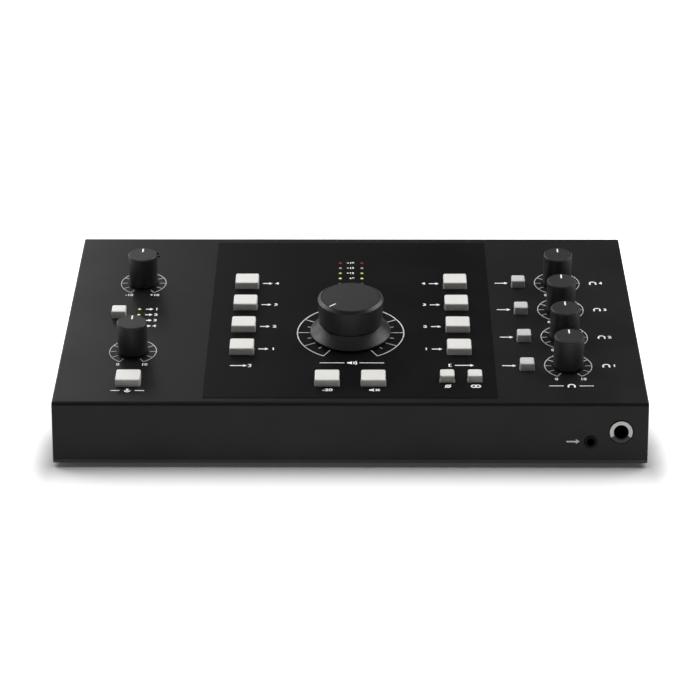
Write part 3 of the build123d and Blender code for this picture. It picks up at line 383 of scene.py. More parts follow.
def makeScatterTree():
    sockets = [("Unit", "NodeSocketObject"), ("Material", "NodeSocketMaterial")]
    tree, source, outcome = newTree("scatter", sockets)
    unit = addNode(tree, "GeometryNodeObjectInfo", {"Object": source.outputs["Unit"]})
    turn = addNode(tree, "GeometryNodeInputNamedAttribute", {"Name": "turn"})
    rotation = addNode(tree, "ShaderNodeCombineXYZ", {"Z": turn.outputs["Attribute"]})
    spread = addNode(tree, "GeometryNodeInstanceOnPoints", {
        "Points": source.outputs["Geometry"], "Instance": unit.outputs["Geometry"],
        "Rotation": rotation.outputs[0]})
    endTree(tree, source, outcome, spread.outputs[0])
    return tree


def makeDialTree():
    sizes = [(label, "NodeSocketFloat") for label in ("First", "Step", "Inner", "Length", "Width", "Height")]
    sockets = [("Ticks", "NodeSocketInt"), *sizes, ("Material", "NodeSocketMaterial")]
    tree, source, outcome = newTree("dial", sockets)
    given = source.outputs
    line = addNode(tree, "GeometryNodeMeshLine", {"Offset": (0, 0, 0), "Count": given["Ticks"]})
    size = addNode(tree, "ShaderNodeCombineXYZ",
                   {"X": given["Width"], "Y": given["Length"], "Z": given["Height"]})
    bar = addNode(tree, "GeometryNodeMeshCube", {"Size": size.outputs[0]})
    reach = addMath(tree, "MULTIPLY_ADD", given["Length"], 0.5, given["Inner"])
    lift = addMath(tree, "MULTIPLY", given["Height"], 0.5)
    out = addNode(tree, "ShaderNodeCombineXYZ", {"Y": reach, "Z": lift})
    move = addNode(tree, "GeometryNodeTransform",
                   {"Geometry": bar.outputs["Mesh"], "Translation": out.outputs[0]})
    index = addNode(tree, "GeometryNodeInputIndex")
    angle = addMath(tree, "MULTIPLY_ADD", index.outputs[0], given["Step"], given["First"])
    rotation = addNode(tree, "ShaderNodeCombineXYZ", {"Z": angle})
    spread = addNode(tree, "GeometryNodeInstanceOnPoints", {
        "Points": line.outputs[0], "Instance": move.outputs[0], "Rotation": rotation.outputs[0]})
    endTree(tree, source, outcome, spread.outputs[0])
    return tree


scatterTree = makeScatterTree()
dialTree = makeDialTree()


def finished(holder):
    graph = bpy.context.evaluated_depsgraph_get()
    mesh = bpy.data.meshes.new_from_object(holder.evaluated_get(graph), depsgraph=graph)
    bpy.data.objects.remove(holder)
    return mesh


def grow(mesh, tree, values):
    base = newObject("base", mesh)
    modifier = base.modifiers.new("grow", "NODES")
    modifier.node_group = tree
    sockets = {item.name: item.identifier for item in tree.interface.items_tree if item.in_out == "INPUT"}
    for label, value in values.items():
        modifier[sockets[label]] = value
    base.update_tag()
    return finished(base)


def scatter(name, unitShape, places, where, finish, body="chassis", replaces=(), sharp=32.0):
    unit = newObject("unit", toMesh("unit", unitShape, sharp=sharp))
    points = bpy.data.meshes.new("points")
    points.from_pydata([(place[0], place[1], 0) for place in places], [], [])
    turns = points.attributes.new("turn", "FLOAT", "POINT")
    for i, place in enumerate(places):
        turns.data[i].value = math.radians(place[2]) if len(place) > 2 else 0.0
    mesh = grow(points, scatterTree, {"Unit": unit, "Material": look[finish]})
    bpy.data.objects.remove(unit)
    mesh.name = name
    mesh.transform(where)
    return addPiece(name, mesh, finish, body, replaces)


def ticks(count, first, step, inner, length, width, height, finish):
    values = {"Ticks": count, "First": math.radians(first), "Step": math.radians(step), "Inner": inner,
              "Length": length, "Width": width, "Height": height, "Material": look[finish]}
    return grow(bpy.data.meshes.new("dial"), dialTree, values)


def joinMeshes(name, parts):
    whole = bmesh.new()
    for mesh, where in parts:
        mesh.transform(where)
        whole.from_mesh(mesh)
        bpy.data.meshes.remove(mesh)
    return toMesh(name, whole)


def digits(text, size, height, wide=1.25, weight=0.028):
    curve = bpy.data.curves.new("digits", "FONT")
    curve.body = text
    curve.size = size
    curve.extrude = height / 2
    curve.offset = weight * size
    curve.align_x, curve.align_y = "CENTER", "CENTER"
    mesh = finished(newObject("digits", curve))
    mesh.transform(Matrix.Diagonal((wide, 1, 1, 1)))
    return mesh


print("stage: tools")

# control panel layout, across and up the slope
layout = {"talkX": -104.0, "trimV": 114.95, "talkV": 47.15, "phonesX": 103.1, "phonesV": 34.05,
          "phonesPitch": 27.05, "volumeV": 65.0, "selectX": 51.95, "selectV": 48.65, "selectPitch": 21.7,
          "monitorX": 10.85, "monitorV": 19.5, "modeX": 51.95, "modeSpread": 6.5, "modeV": 21.6,
          "sourceX": 83.55, "sourceV": 32.75, "digitalX": -113.6, "digitalV": 82.7, "meterX": 5.45,
          "meterV": 136.0, "meterPitch": 5.43, "lampV": 88.3, "lampPitch": 5.55, "overlay": 0.2}
rowsOfFour = range(4)
wideButtons = {"dim_button": (-layout["monitorX"], layout["monitorV"]),
               "cut_button": (layout["monitorX"], layout["monitorV"]),
               "talkback_button": (layout["talkX"], layout["monitorV"])}
smallButtons = {"polarity_button": (layout["modeX"] - layout["modeSpread"], layout["modeV"]),
                "mono_button": (layout["modeX"] + layout["modeSpread"], layout["modeV"]),
                "digital_button": (layout["digitalX"], layout["digitalV"])}
smallKnobs = {"trim_knob": (layout["talkX"], layout["trimV"]),
              "talkback_knob": (layout["talkX"], layout["talkV"])}
for row in rowsOfFour:
    selectV = layout["selectV"] + row * layout["selectPitch"]
    phonesStep = row * layout["phonesPitch"]
    wideButtons[f"input_button_{row + 1}"] = (-layout["selectX"], selectV)
    wideButtons[f"output_button_{row + 1}"] = (layout["selectX"], selectV)
    smallButtons[f"source_button_{row + 1}"] = (layout["sourceX"], layout["sourceV"] + phonesStep)
    smallKnobs[f"headphone_knob_{row + 1}"] = (layout["phonesX"], layout["phonesV"] + phonesStep)

# push button caps: crowned top, rounded edges, retaining rim and plunger
button = {"wide": (11.55, 9.75), "small": (6.95, 6.65), "least": (6.7, 6.4), "height": 3.8, "corner": 1.0,
          "round": 0.6, "crown": 0.07, "crownSteps": (0.2, 0.45, 0.75, 1.0), "middle": 0.3, "rim": 0.9,
          "rimTop": -1.9, "rimBottom": -2.9, "plunger": 3.2, "plungerCorner": 0.3, "plungerEnd": -9.0,
          "sharp": 50}


def buttonShape(width, depth):
    top = button["height"] - button["crown"]
    flat = min(width, depth) / 2 - button["round"] - button["middle"]
    crown = [(button["round"] + flat * k, top + button["crown"] * (1 - (1 - k) ** 2))
             for k in button["crownSteps"]]
    cap = block(width, depth, button["corner"], [(0, button["rimTop"]), *fillet(button["round"], top), *crown])
    rim = block(width + 2 * button["rim"], depth + 2 * button["rim"], button["corner"],
                [(0, button["rimBottom"]), (0, button["rimTop"])])
    plunger = block(button["plunger"], button["plunger"], button["plungerCorner"],
                    [(0, button["plungerEnd"]), (0, button["rimBottom"])])
    return join(cap, rim, plunger)


for name, (u, v) in (*wideButtons.items(), *smallButtons.items()):
    size = "wide" if name in wideButtons else "small" if name == "digital_button" else "least"
    finish = "greyCap" if name.startswith("source") else "cap"
    addShape(name + "_cap", buttonShape(*button[size]), at(panelSpace, u, v), finish,
             name + "_body", [name], button["sharp"])
print("stage: buttons")

# small knobs: turned cylinder with a fine chamfer, a hollow foot and a shaft
knob = {"radius": 7.1, "height": 16.4, "chamfer": 0.5, "foot": 0.8, "hollow": 6.07, "hollowTop": 3.2,
        "ease": 0.2, "steps": 72, "shaft": 3.0, "shaftEnd": -10.0, "groove": (0.72, 3.5), "grooveEnd": 5.85,
        "grooveDepth": 0.2, "grooveLift": 0.02}


def grooveInk(width, length, outer, top):
    half, inner = width / 2, outer - length
    return slab([(-half, inner), (half, inner), (half, outer), (-half, outer)],
                top - knob["grooveDepth"] / 2, top + knob["grooveLift"])


for name, (u, v) in smallKnobs.items():
    r, h, c, foot = knob["radius"], knob["height"], knob["chamfer"], knob["foot"]
    hollow, hollowTop = knob["hollow"], knob["hollowTop"]
    body = lathe(eased([(0, hollowTop), (hollow, hollowTop), (hollow, foot), (r, foot), (r, h - c),
                        (r - c, h), (0, h)], knob["ease"]), knob["steps"])
    shaft = rod(knob["shaft"], knob["shaftEnd"], hollowTop)
    where = at(panelSpace, u, v)
    addShape(name + "_turned", join(body, shaft), where, "knob", name + "_body", [name])
    line = grooveInk(*knob["groove"], knob["grooveEnd"], h)
    addShape(name + "_pointer", line, where, "pointer", name + "_body")
print("stage: small knobs")

# volume knob and its dished skirt
volume = {"top": 20.0, "face": 14.3, "faceSheet": 0.6, "faceSeat": 0.5, "faceFlat": 0.6, "shoulder": 15.8,
          "chamfer": 1.1, "waist": 15.45, "bow": 0.1, "seam": 1.1, "gap": 0.85, "hub": 6.0, "hubEnd": 3.9,
          "hubGap": 0.05, "shaft": 3.0, "shaftEnd": -10.0, "pointer": 133.5, "groove": (0.62, 3.8),
          "grooveOuter": 13.6, "skirt": 19.45, "skirtTop": 6.4, "edge": 0.7, "neck": 14.9, "lift": 1.05,
          "flare": 0.4, "flareSteps": 14, "ease": 0.08, "skirtEase": 0.1, "steps": 128}


def bowed(start, end, bow, steps=10):
    points = []
    for i in range(steps + 1):
        k = i / steps
        bulge = 4 * k * (1 - k) * bow
        dr, dz = end[0] - start[0], end[1] - start[1]
        length = math.hypot(dr, dz)
        points.append((start[0] + dr * k + bulge * dz / length, start[1] + dz * k - bulge * dr / length))
    return points


top, skirtTop, hub, hubEnd = volume["top"], volume["skirtTop"], volume["hub"], volume["hubEnd"]
faceLow, shoulderTop, gapTop = top - volume["faceSheet"], top - volume["chamfer"], skirtTop + volume["gap"]
seam, seat = volume["waist"] - volume["seam"], volume["face"] - volume["faceSeat"]
side = bowed((volume["waist"], gapTop), (volume["shoulder"], shoulderTop), -volume["bow"])
knobBody = lathe(eased([(0, hubEnd), (hub, hubEnd), (hub, skirtTop), (seam, skirtTop), (seam, gapTop), *side,
                        (seat, shoulderTop), (seat, faceLow), (0, faceLow)], volume["ease"]), volume["steps"])
knobShaft = rod(volume["shaft"], volume["shaftEnd"], hubEnd)
volumePlace = at(panelSpace, 0, layout["volumeV"])
# the body's sides wear the lightest copy of the knob finish, a painted light
addShape("volume_turned", join(knobBody, knobShaft), volumePlace, "knobSidePaintedLight", "volume_dial",
         ["volume_knob"])
cutEdge = lathe([(seat, shoulderTop), (volume["shoulder"], shoulderTop), (volume["face"], top), (seat, top)],
                volume["steps"], loop=True)
addShape("volume_edge", cutEdge, volumePlace, "cutEdge", "volume_dial")
faceDisc = lathe([(0, faceLow), (seat, faceLow), (seat, top), (volume["face"] - volume["faceFlat"], top),
                  (0, top)], volume["steps"])
# the face wears its own lighter copy of the knob finish, a painted light
addShape("volume_face", faceDisc, volumePlace, "knobFacePaintedLight", "volume_dial")
volumeLine = grooveInk(*volume["groove"], volume["grooveOuter"], top)
pointerPlace = at(panelSpace, 0, layout["volumeV"], 0, volume["pointer"])
addShape("volume_pointer", volumeLine, pointerPlace, "pointer", "volume_dial")
skirt, neck, skirtLow, skirtEdge = volume["skirt"], volume["neck"], volume["lift"], volume["edge"]
skirtBore = hub + volume["hubGap"]
flare = bowed((skirt, skirtLow + skirtEdge), (neck, skirtTop), -volume["flare"], volume["flareSteps"])
skirtLine = [(skirtBore, skirtTop), (skirtBore, hubEnd + skirtEdge), (neck - 2 * skirtEdge, hubEnd),
             (skirt - 2 * skirtEdge, skirtLow), (skirt, skirtLow), *flare, (skirtBore, skirtTop)]
skirtShape = lathe(eased(skirtLine, volume["skirtEase"])[:-1], volume["steps"], loop=True)
addShape("volume_dish", turnedMap(skirtShape), volumePlace, "skirt", "volume_dial",
         ["volume_skirt"])
print("stage: volume knob")

# printed rings, ticks and numbers on the panel
ink = {"height": 0.03, "line": 0.5, "smallLine": 0.32, "tick": 0.38, "volumeRing": 25.75, "smallRing": 11.2,
       "smallSteps": 48, "turn": 150, "ticks": 11, "inner": 19.6, "long": 6.4, "short": 2.0, "smallInner": 8.0,
       "smallLong": 3.2, "endSize": 2.9, "endWide": 1.02, "endAcross": 6.3, "endDown": 12.3, "bold": 0.68,
       "rule": 0.5, "thin": 0.4}


def arcBand(radius, width, first, last, height, steps=96):
    outline = []
    for edge, turns in ((radius + width / 2, range(steps + 1)), (radius - width / 2, range(steps, -1, -1))):
        for i in turns:
            a = math.radians(first + (last - first) * i / steps)
            outline.append((edge * math.sin(-a), edge * math.cos(a)))
    bm = bmesh.new()
    low = [bm.verts.new((x, y, 0)) for x, y in outline]
    high = [bm.verts.new((x, y, height)) for x, y in outline]
    count = len(outline)
    for i in range(count):
        j = (i + 1) % count
        bm.faces.new((low[i], low[j], high[j], high[i]))
    for i in range(steps):
        j = count - 1 - i
        bm.faces.new((high[i], high[i + 1], high[j - 1], high[j]))
        bm.faces.new((low[j], low[j - 1], low[i + 1], low[i]))
    bmesh.ops.recalc_face_normals(bm, faces=bm.faces)
    return bm


marks, signs = [], []
overlayTop, inkTop, turn = layout["overlay"], ink["height"], ink["turn"]
tickStep = 2 * turn / (ink["ticks"] - 1)
ringPlace = at(panelSpace, 0, layout["volumeV"], overlayTop)
ring = arcBand(ink["volumeRing"], ink["line"], -turn, turn, inkTop)
marks.append((toMesh("ring", ring), ringPlace))
for count, first, length in ((ink["ticks"], -turn, ink["long"]),
                             (ink["ticks"] - 1, tickStep / 2 - turn, ink["short"])):
    dial = ticks(count, first, tickStep, ink["inner"], length, ink["tick"], inkTop, "ink")
    marks.append((dial, ringPlace))
for name, (u, v) in smallKnobs.items():
    place = at(panelSpace, u, v)
    ring = arcBand(ink["smallRing"], ink["smallLine"], -turn, turn, inkTop, ink["smallSteps"])
    marks.append((toMesh("ring", ring), place))
    dial = ticks(ink["ticks"], -turn, tickStep, ink["smallInner"], ink["smallLong"], ink["smallLine"], inkTop,
                 "ink")
    marks.append((dial, place))
    ends = ("-10", "+10") if name == "trim_knob" else ("0", "10")
    for text, side in zip(ends, (-1, 1)):
        endPlace = at(panelSpace, u + side * ink["endAcross"], v - ink["endDown"], inkTop / 2)
        signs.append((digits(text, ink["endSize"], inkTop, ink["endWide"]), endPlace))

# plain signs beside the controls, each drawn in millimetres round its own middle
arrowHead = {"length": 1.7, "half": 1.15, "overlap": 1.5}
gateBar = {"half": 1.3, "lip": 1.1, "back": 0.27}


def stroke(x0, y0, x1, y1, width=ink["bold"]):
    along = Vector((x1 - x0, y1 - y0))
    across = Vector((-along.y, along.x)).normalized() * width / 2
    corners = [(x0 - across.x, y0 - across.y), (x1 - across.x, y1 - across.y), (x1 + across.x, y1 + across.y),
               (x0 + across.x, y0 + across.y)]
    return slab(corners, 0, inkTop)


def hoop(x, y, radius, first=-180, last=180):
    return arcBand(radius, ink["bold"], first, last, inkTop, 32), Matrix.Translation((x, y, 0))


def arrow(start, end):
    back, half = end - arrowHead["length"], arrowHead["half"]
    head = slab([(back, -half), (end, 0), (back, half)], 0, inkTop)
    return join(stroke(start, 0, end - arrowHead["overlap"], 0), head)


def gate(x, way):
    back, lip = x - gateBar["back"] * way, gateBar["lip"]
    return join(stroke(x, -gateBar["half"], x, gateBar["half"]), stroke(back, lip, x + way, lip, ink["thin"]),
                stroke(back, -lip, x + way, -lip, ink["thin"]))


def speaker(crossed=False):
    horn = slab([(-2.2, -0.6), (-1.4, -0.6), (0.1, -1.35), (0.1, 1.35), (-1.4, 0.6), (-2.2, 0.6)], 0, inkTop)
    if crossed:
        return join(horn, stroke(0.9, -0.9, 2.7, 0.9), stroke(0.9, 0.9, 2.7, -0.9))
    return join(horn, hoop(-0.4, 0, 1.5, -130, -50), hoop(-0.4, 0, 2.6, -125, -55))


def headphones():
    pads = [slab([(x - 0.4, -1.4), (x + 0.4, -1.4), (x + 0.4, 0.1), (x - 0.4, 0.1)], 0, inkTop)
            for x in (-1.45, 1.45)]
    return join(hoop(0, -0.3, 1.6, -90, 90), *pads)


def microphone():
    return join(stroke(0, -0.2, 0, 1.5, 1.15), hoop(0, 0.1, 1.2, 90, 270), stroke(0, -1.1, 0, -1.6, 0.45))


def captioned(sign, low, high, gap=3.6):
    middle = (low + high) / 2
    return join((sign, Matrix.Translation((middle, 0, 0))), stroke(low, 0, middle - gap, 0, ink["rule"]),
                stroke(middle + gap, 0, high, 0, ink["rule"]))


def mark(shape, u, v, lift=0.0):
    signs.append((toMesh("sign", shape), at(panelSpace, u, v, lift)))


def number(text, u, v, lift=0.0, size=3.1, wide=1.2):
    signs.append((digits(text, size, inkTop, wide), at(panelSpace, u, v, lift + inkTop / 2)))


# how far across the panel the rows' signs stand
rowSigns = {"lift": 0.6, "inArrow": (-44.2, -39.3), "inNumber": -37, "outNumber": 36.3, "outArrow": (39, 44),
            "phonesArrow": (72, 78.5), "phonesSign": 121.1, "phonesNumber": 125, "lampArrow": (-100.9, -97.2),
            "lampNumber": -95.6, "lampSize": 2.9}
for row in rowsOfFour:
    selectV = layout["selectV"] + row * layout["selectPitch"] + rowSigns["lift"]
    phonesV = layout["phonesV"] + row * layout["phonesPitch"]
    lampV = layout["lampV"] - row * layout["lampPitch"]
    mark(arrow(*rowSigns["inArrow"]), 0, selectV, overlayTop)
    number(str(row + 1), rowSigns["inNumber"], selectV, overlayTop)
    number(str(row + 1), rowSigns["outNumber"], selectV, overlayTop)
    mark(arrow(*rowSigns["outArrow"]), 0, selectV, overlayTop)
    mark(arrow(*rowSigns["phonesArrow"]), 0, phonesV)
    mark(headphones(), rowSigns["phonesSign"], phonesV)
    number(str(row + 1), rowSigns["phonesNumber"], phonesV)
    mark(arrow(*rowSigns["lampArrow"]), 0, lampV)
    number(str(row + 1), rowSigns["lampNumber"], lampV, 0, rowSigns["lampSize"])
# the single signs: shape, across, up the slope
mark(join(arrow(-57, -49), gate(-47.3, -1.2)), 0, 33.6, overlayTop)
mark(join(gate(46.8, 1.2), arrow(49.5, 58.5)), 0, 34.0, overlayTop)
mark(captioned(speaker(), -14.6, 16), 0, 36.2, overlayTop)
number("-20", -10.6, 11.4, overlayTop)
mark(speaker(crossed=True), 11, 11.4, overlayTop)
mark(join(hoop(0, 0, 1.05), stroke(-1.5, -1.5, 1.5, 1.5, 0.4)), 45.7, 14.9, overlayTop)
mark(join(hoop(-0.9, 0, 1.15), hoop(0.9, 0, 1.15)), 58.7, 14.9, overlayTop)
mark(captioned(headphones(), 93, 113.8), 0, 15.6)
mark(captioned(microphone(), -111.7, -96), 0, 11)
meterSigns = {"numbers": ("+18", "+15", "+12", "+9", "+6", "+3", "0", "-3"), "middle": 1.75, "digit": 0.72,
              "size": 2.4, "wide": 1.0}
for row, text in enumerate(meterSigns["numbers"]):
    across = meterSigns["middle"] - meterSigns["digit"] * len(text)
    number(text, across, layout["meterV"] - row * layout["meterPitch"], overlayTop, meterSigns["size"],
           meterSigns["wide"])
frontArrow = {"span": (100.3, 106.4), "down": 18.5}
signs.append((toMesh("sign", arrow(*frontArrow["span"])), at(faceSpace, 0, -frontArrow["down"])))
addPiece("printed_rings", joinMeshes("printed_rings", marks), "ink")
addPiece("printed_signs", joinMeshes("printed_signs", signs), "signInk")
print("stage: printed marks")

# meter and source lamps: a tinted lens round a bright middle
lamp = {"radius": 0.95, "core": 0.66, "stand": 0.05, "sink": 1.9, "collar": 1.65, "shoulder": 0.6, "steps": 24,
        "dome": ((0, -0.02), (1, -0.02), (1, 0.01), (0.7, 0.03), (0, 0.04)), "meterDepth": 5.0,
        "sourceDepth": 12.0, "glow": 0.6, "shade": 0.5, "rough": 0.3, "coat": 0.2}
lampColours = {"redLamp": ((0.08, 0.006, 0.01), (0.26, 0.02, 0.03)),
               "greenLamp": ((0.05, 0.065, 0.025), (0.36, 0.43, 0.25)),
               "amberLamp": ((0.1, 0.095, 0.012), (0.6, 0.58, 0.2)),
               "paleLamp": ((0.12, 0.115, 0.02), (0.8, 0.78, 0.42)),
               "quietLamp": ((0.04, 0.04, 0.035), (0.1, 0.1, 0.095))}
for name, (edge, middle) in lampColours.items():
    for label, colour, coat in ((name, edge, lamp["coat"]), (name + "Core", middle, 0.0)):
        look[label] = makeMaterial(label, [c * lamp["shade"] for c in colour], lamp["rough"],
                                   glow=(*colour, lamp["glow"]), coat=coat)
meterRows = ("redLamp", "greenLamp", "amberLamp", "paleLamp") + ("quietLamp",) * 4


def lampShape(bottom, lift):
    r, core, stand, collar, sink = (lamp[key] for key in ("radius", "core", "stand", "collar", "sink"))
    return lathe([(0, -bottom), (collar, -bottom), (collar, -sink), (r, -sink), (r, lift),
                  (0.5 * (r + core), lift + lamp["shoulder"] * stand), (core, lift + stand), (0, lift + stand)],
                 lamp["steps"])


def coreShape(lift):
    top = lift + lamp["stand"]
    return lathe([(share * lamp["core"], top + rise) for share, rise in lamp["dome"]], lamp["steps"])


for colour in sorted(set(meterRows)):
    rows = [row for row, tint in enumerate(meterRows) if tint == colour]
    places = [(side * layout["meterX"], layout["meterV"] - row * layout["meterPitch"])
              for side in (-1, 1) for row in rows]
    hides = ["meter_lamps"] if colour == "quietLamp" else []
    lens, core = lampShape(lamp["meterDepth"], overlayTop), coreShape(overlayTop)
    scatter("meter_" + colour, lens, places, panelSpace, colour, replaces=hides)
    scatter("meter_" + colour + "_core", core, places, panelSpace, colour + "Core")
places = [(layout["talkX"], layout["lampV"] - row * layout["lampPitch"]) for row in rowsOfFour]
scatter("source_paleLamp", lampShape(lamp["sourceDepth"], 0), places, panelSpace, "paleLamp",
        replaces=["source_lamps"])
scatter("source_paleLamp_core", coreShape(0), places, panelSpace, "paleLampCore")
print("stage: lamps")

# rear connectors
rear = {"columns": (114.826, 95.301, 69.291, 49.766, 30.242, 4.231, -15.293, -34.818), "lower": 12.0,
        "upper": 29.5, "barrel": 4.7, "reach": 6.0, "bore": 3.25, "body": (15.2, 14.6, 22.0), "bodyCorner": 0.4,
        "bodyBack": 1.4, "sheet": 1.5, "mouth": (0.4, 0.5), "edge": 0.4, "pitch": 0.75, "groove": 0.28,
        "threadStart": 0.3, "steps": 48}
nut = {"across": 12.7, "height": 2.4, "gap": 0.05, "corner": 1.03, "worn": 0.45, "chamfer": 0.35, "turn": 7,
       "turns": 5}
jackPlaces = [(-x, z) for x in rear["columns"] for z in (rear["lower"], rear["upper"])]


def jackShape():
    bore, outer, reach, edge = rear["bore"], rear["barrel"], rear["reach"], rear["edge"]
    mouthWide, mouthDeep = rear["mouth"]
    crests = []
    z = nut["height"] + rear["threadStart"]
    while z < reach - rear["pitch"]:
        crests += [(outer, z), (outer - rear["groove"], z + rear["pitch"] / 2)]
        z += rear["pitch"]
    width, height, depth = rear["body"]
    inside = depth + rear["sheet"] - rear["bodyBack"]
    barrel = lathe([(bore, -inside), (bore, reach - mouthDeep), (bore + mouthWide, reach),
                    (outer - edge, reach), (outer, reach - edge), *crests[::-1], (outer, 0),
                    (outer, -rear["sheet"])], rear["steps"])
    floor = lathe([(0, -inside), (bore, -inside)], rear["steps"])
    shell = block(width, height, rear["bodyCorner"], [(0, -rear["sheet"] - depth), (0, -rear["sheet"])])
    return join(barrel, floor, shell)


def nutShape(hole, steps=48):
    flat, height = nut["across"] / 2, nut["height"]
    turns = [2 * math.pi * i / steps for i in range(steps)]
    hexagon = [flat / math.cos((a + math.pi / 6) % (math.pi / 3) - math.pi / 6) for a in turns]
    worn = [min(r, flat * nut["corner"]) for r in hexagon]

    def ringAt(radii, z):
        return [(r * math.cos(a), r * math.sin(a), z) for r, a in zip(radii, turns)]
    return loft([ringAt([hole] * steps, 0), ringAt(hexagon, 0), ringAt(hexagon, height - nut["worn"]),
                 ringAt(worn, height), ringAt([hole + nut["chamfer"]] * steps, height),
                 ringAt([hole] * steps, height - nut["chamfer"])], loop=True)


scatter("jack_barrels", jackShape(), jackPlaces, backSpace, "darkPlastic",
        replaces=["rear_jacks"])
nutPlaces = [(x, z, nut["turn"] * (i % nut["turns"])) for i, (x, z) in enumerate(jackPlaces)]
scatter("jack_nuts", nutShape(rear["barrel"] + nut["gap"]), nutPlaces, backSpace, "nickel",
        replaces=["rear_jack_nuts"])
sleeve = {"inner": 0.25, "outer": 0.02, "front": -1, "back": -12, "steps": 32}
sleeveIn, sleeveOut = rear["bore"] - sleeve["inner"], rear["bore"] - sleeve["outer"]
sleeveShape = lathe([(sleeveIn, sleeve["back"]), (sleeveIn, sleeve["front"]), (sleeveOut, sleeve["front"]),
                     (sleeveOut, sleeve["back"])], sleeve["steps"], loop=True)
scatter("jack_sleeves", sleeveShape, jackPlaces, backSpace, "nickel")

phono = {"places": ((58.628, 12.0), (58.628, 29.5), (73.753, 29.5)), "colours": ("red", "white", "orange"),
         "reach": 7.4, "shell": 4.15, "wall": 0.45, "lip": 0.2, "lipIn": 0.3, "lipOut": 0.25, "bore": 1.75,
         "mouth": 0.3, "recess": 0.9, "boreTop": 1.2, "collar": 5.4, "collarTop": 1.5, "collarEdge": 0.3,
         "boreEnd": -7.4, "back": -23.5, "corner": 0.3, "steps": 48}
shellOut, shellIn, reach = phono["shell"], phono["shell"] - phono["wall"], phono["reach"]
collar, collarTop, collarEdge = phono["collar"], phono["collarTop"], phono["collarEdge"]
shellShape = lathe([(shellIn, collarTop), (shellIn, reach - phono["lipIn"]), (shellIn + phono["lip"], reach),
                    (shellOut - phono["lip"], reach), (shellOut, reach - phono["lipOut"]),
                    (shellOut, collarTop)], phono["steps"], loop=True)
scatter("phono_shells", shellShape, phono["places"], backSpace, "gold")
for place, colour in zip(phono["places"], phono["colours"]):
    bore, boreEnd, recess = phono["bore"], phono["boreEnd"], reach - phono["recess"]
    insert = lathe([(bore, boreEnd), (bore, reach - phono["boreTop"]), (bore + phono["mouth"], recess),
                    (shellIn, recess), (shellIn, collarTop), (collar - collarEdge, collarTop),
                    (collar, collarTop - collarEdge), (collar, -rear["sheet"])], phono["steps"])
    base = lathe([(0, boreEnd), (bore, boreEnd)], phono["steps"])
    shell = block(2 * collar, 2 * collar, phono["corner"], [(0, phono["back"]), (0, -rear["sheet"])])
    hides = ["phono_sockets"] if colour == "red" else []
    addShape("phono_" + colour, join(insert, base, shell), at(backSpace, *place), colour,
             replaces=hides)

inlet = {"place": (98.701, 12.0), "pin": ((1.08, -12.5), (1.08, 0.4), (0.8, 0.7), (0, 0.75)), "steps": 24}
inletPin = lathe(inlet["pin"], inlet["steps"])
addShape("inlet_pin", inletPin, at(backSpace, *inlet["place"]), "nickel")

# power rocker with rounded lobes
rocker = {"x": -114.976, "pivot": 1.5, "z": 20.75, "radius": 8.2, "width": 9.6, "tilt": 7.5, "back": -2.5,
          "lobe": 4.6, "crown": 3.2, "hollow": 1.6, "pin": 1.2, "pinReach": 0.8, "pinSteps": 24, "edge": 0.35,
          "edgeSteps": 3, "edgeTurn": 1.2}


def rockerOutline(steps=10):
    edge = math.acos(rocker["lobe"] / rocker["radius"])
    rearEdge = math.acos(rocker["back"] / rocker["radius"])
    points = []
    for sign in (1, -1):
        arc = [edge + (rearEdge - edge) * i / steps for i in range(steps + 1)]
        side = [(rocker["radius"] * math.cos(a), sign * rocker["radius"] * math.sin(a)) for a in arc]
        points += side if sign > 0 else side[::-1]
    top = side[0][1]
    for i in range(1, 2 * steps):
        k = -1 + i / steps
        rise = (rocker["lobe"] - rocker["crown"]) * abs(k) ** rocker["hollow"]
        points.append((rocker["crown"] + rise, -k * top))
    return points


rockerSpace = space((0, rearY - rocker["pivot"] * mm, trayTop + rocker["z"] * mm), (0, 1, 0), (0, 0, 1))
rockerPlace = rockerSpace @ Matrix.Rotation(math.radians(rocker["tilt"]), 4, "Z")
rockerEnds = rocker["x"] - rocker["width"] / 2, rocker["x"] + rocker["width"] / 2
shape = slab(rockerOutline(), *rockerEnds)
pin = rod(rocker["pin"], rockerEnds[0] - rocker["pinReach"], rockerEnds[1] + rocker["pinReach"],
          rocker["pinSteps"])
edges = [edge for edge in shape.edges if edge.is_manifold and edge.calc_face_angle(0) > rocker["edgeTurn"]]
bmesh.ops.bevel(shape, geom=edges, offset=rocker["edge"], segments=rocker["edgeSteps"], affect="EDGES")
addShape("rocker_key", join(shape, pin), rockerPlace, "glossPlastic", "rocker_body",
         ["power_rocker"])

# screws: cross recess, with a sunk or a pan head
screw = {"head": 2.75, "height": 1.8, "rim": 0.1, "arm": 1.7, "half": 0.42, "depth": 1.0,
         "taper": (0.55, 0.6, 1.2), "shank": 1.5, "end": -4.5, "steps": 48, "sunkDepth": 1.25,
         "sunkEdge": (0.05, 0.1),
         "panEdge": ((0, 0.7), (0.25, 1.25), (0.7, 1.6)), "panFlat": 0.95}


def crossRing(arm, half, z, steps=screw["steps"]):
    points = []
    for i in range(steps):
        a = 2 * math.pi * i / steps
        t = (a + math.pi / 4) % (math.pi / 2) - math.pi / 4
        r = min(arm / math.cos(t), half / max(1e-6, abs(math.sin(t))))
        points.append((r * math.cos(a), r * math.sin(a), z))
    return points


def screwShape(outside, top):
    arm, half, depth, steps = screw["arm"], screw["half"], screw["depth"], screw["steps"]
    armTaper, halfTaper, deeper = screw["taper"]
    rings = [circle(0, screw["end"], steps), circle(screw["shank"], screw["end"], steps)]
    rings += [circle(r, z, steps) for r, z in outside]
    rings += [crossRing(arm, half, top), crossRing(arm * armTaper, half * halfTaper, top - depth),
              circle(0, top - depth * deeper, steps)]
    return loft(rings)


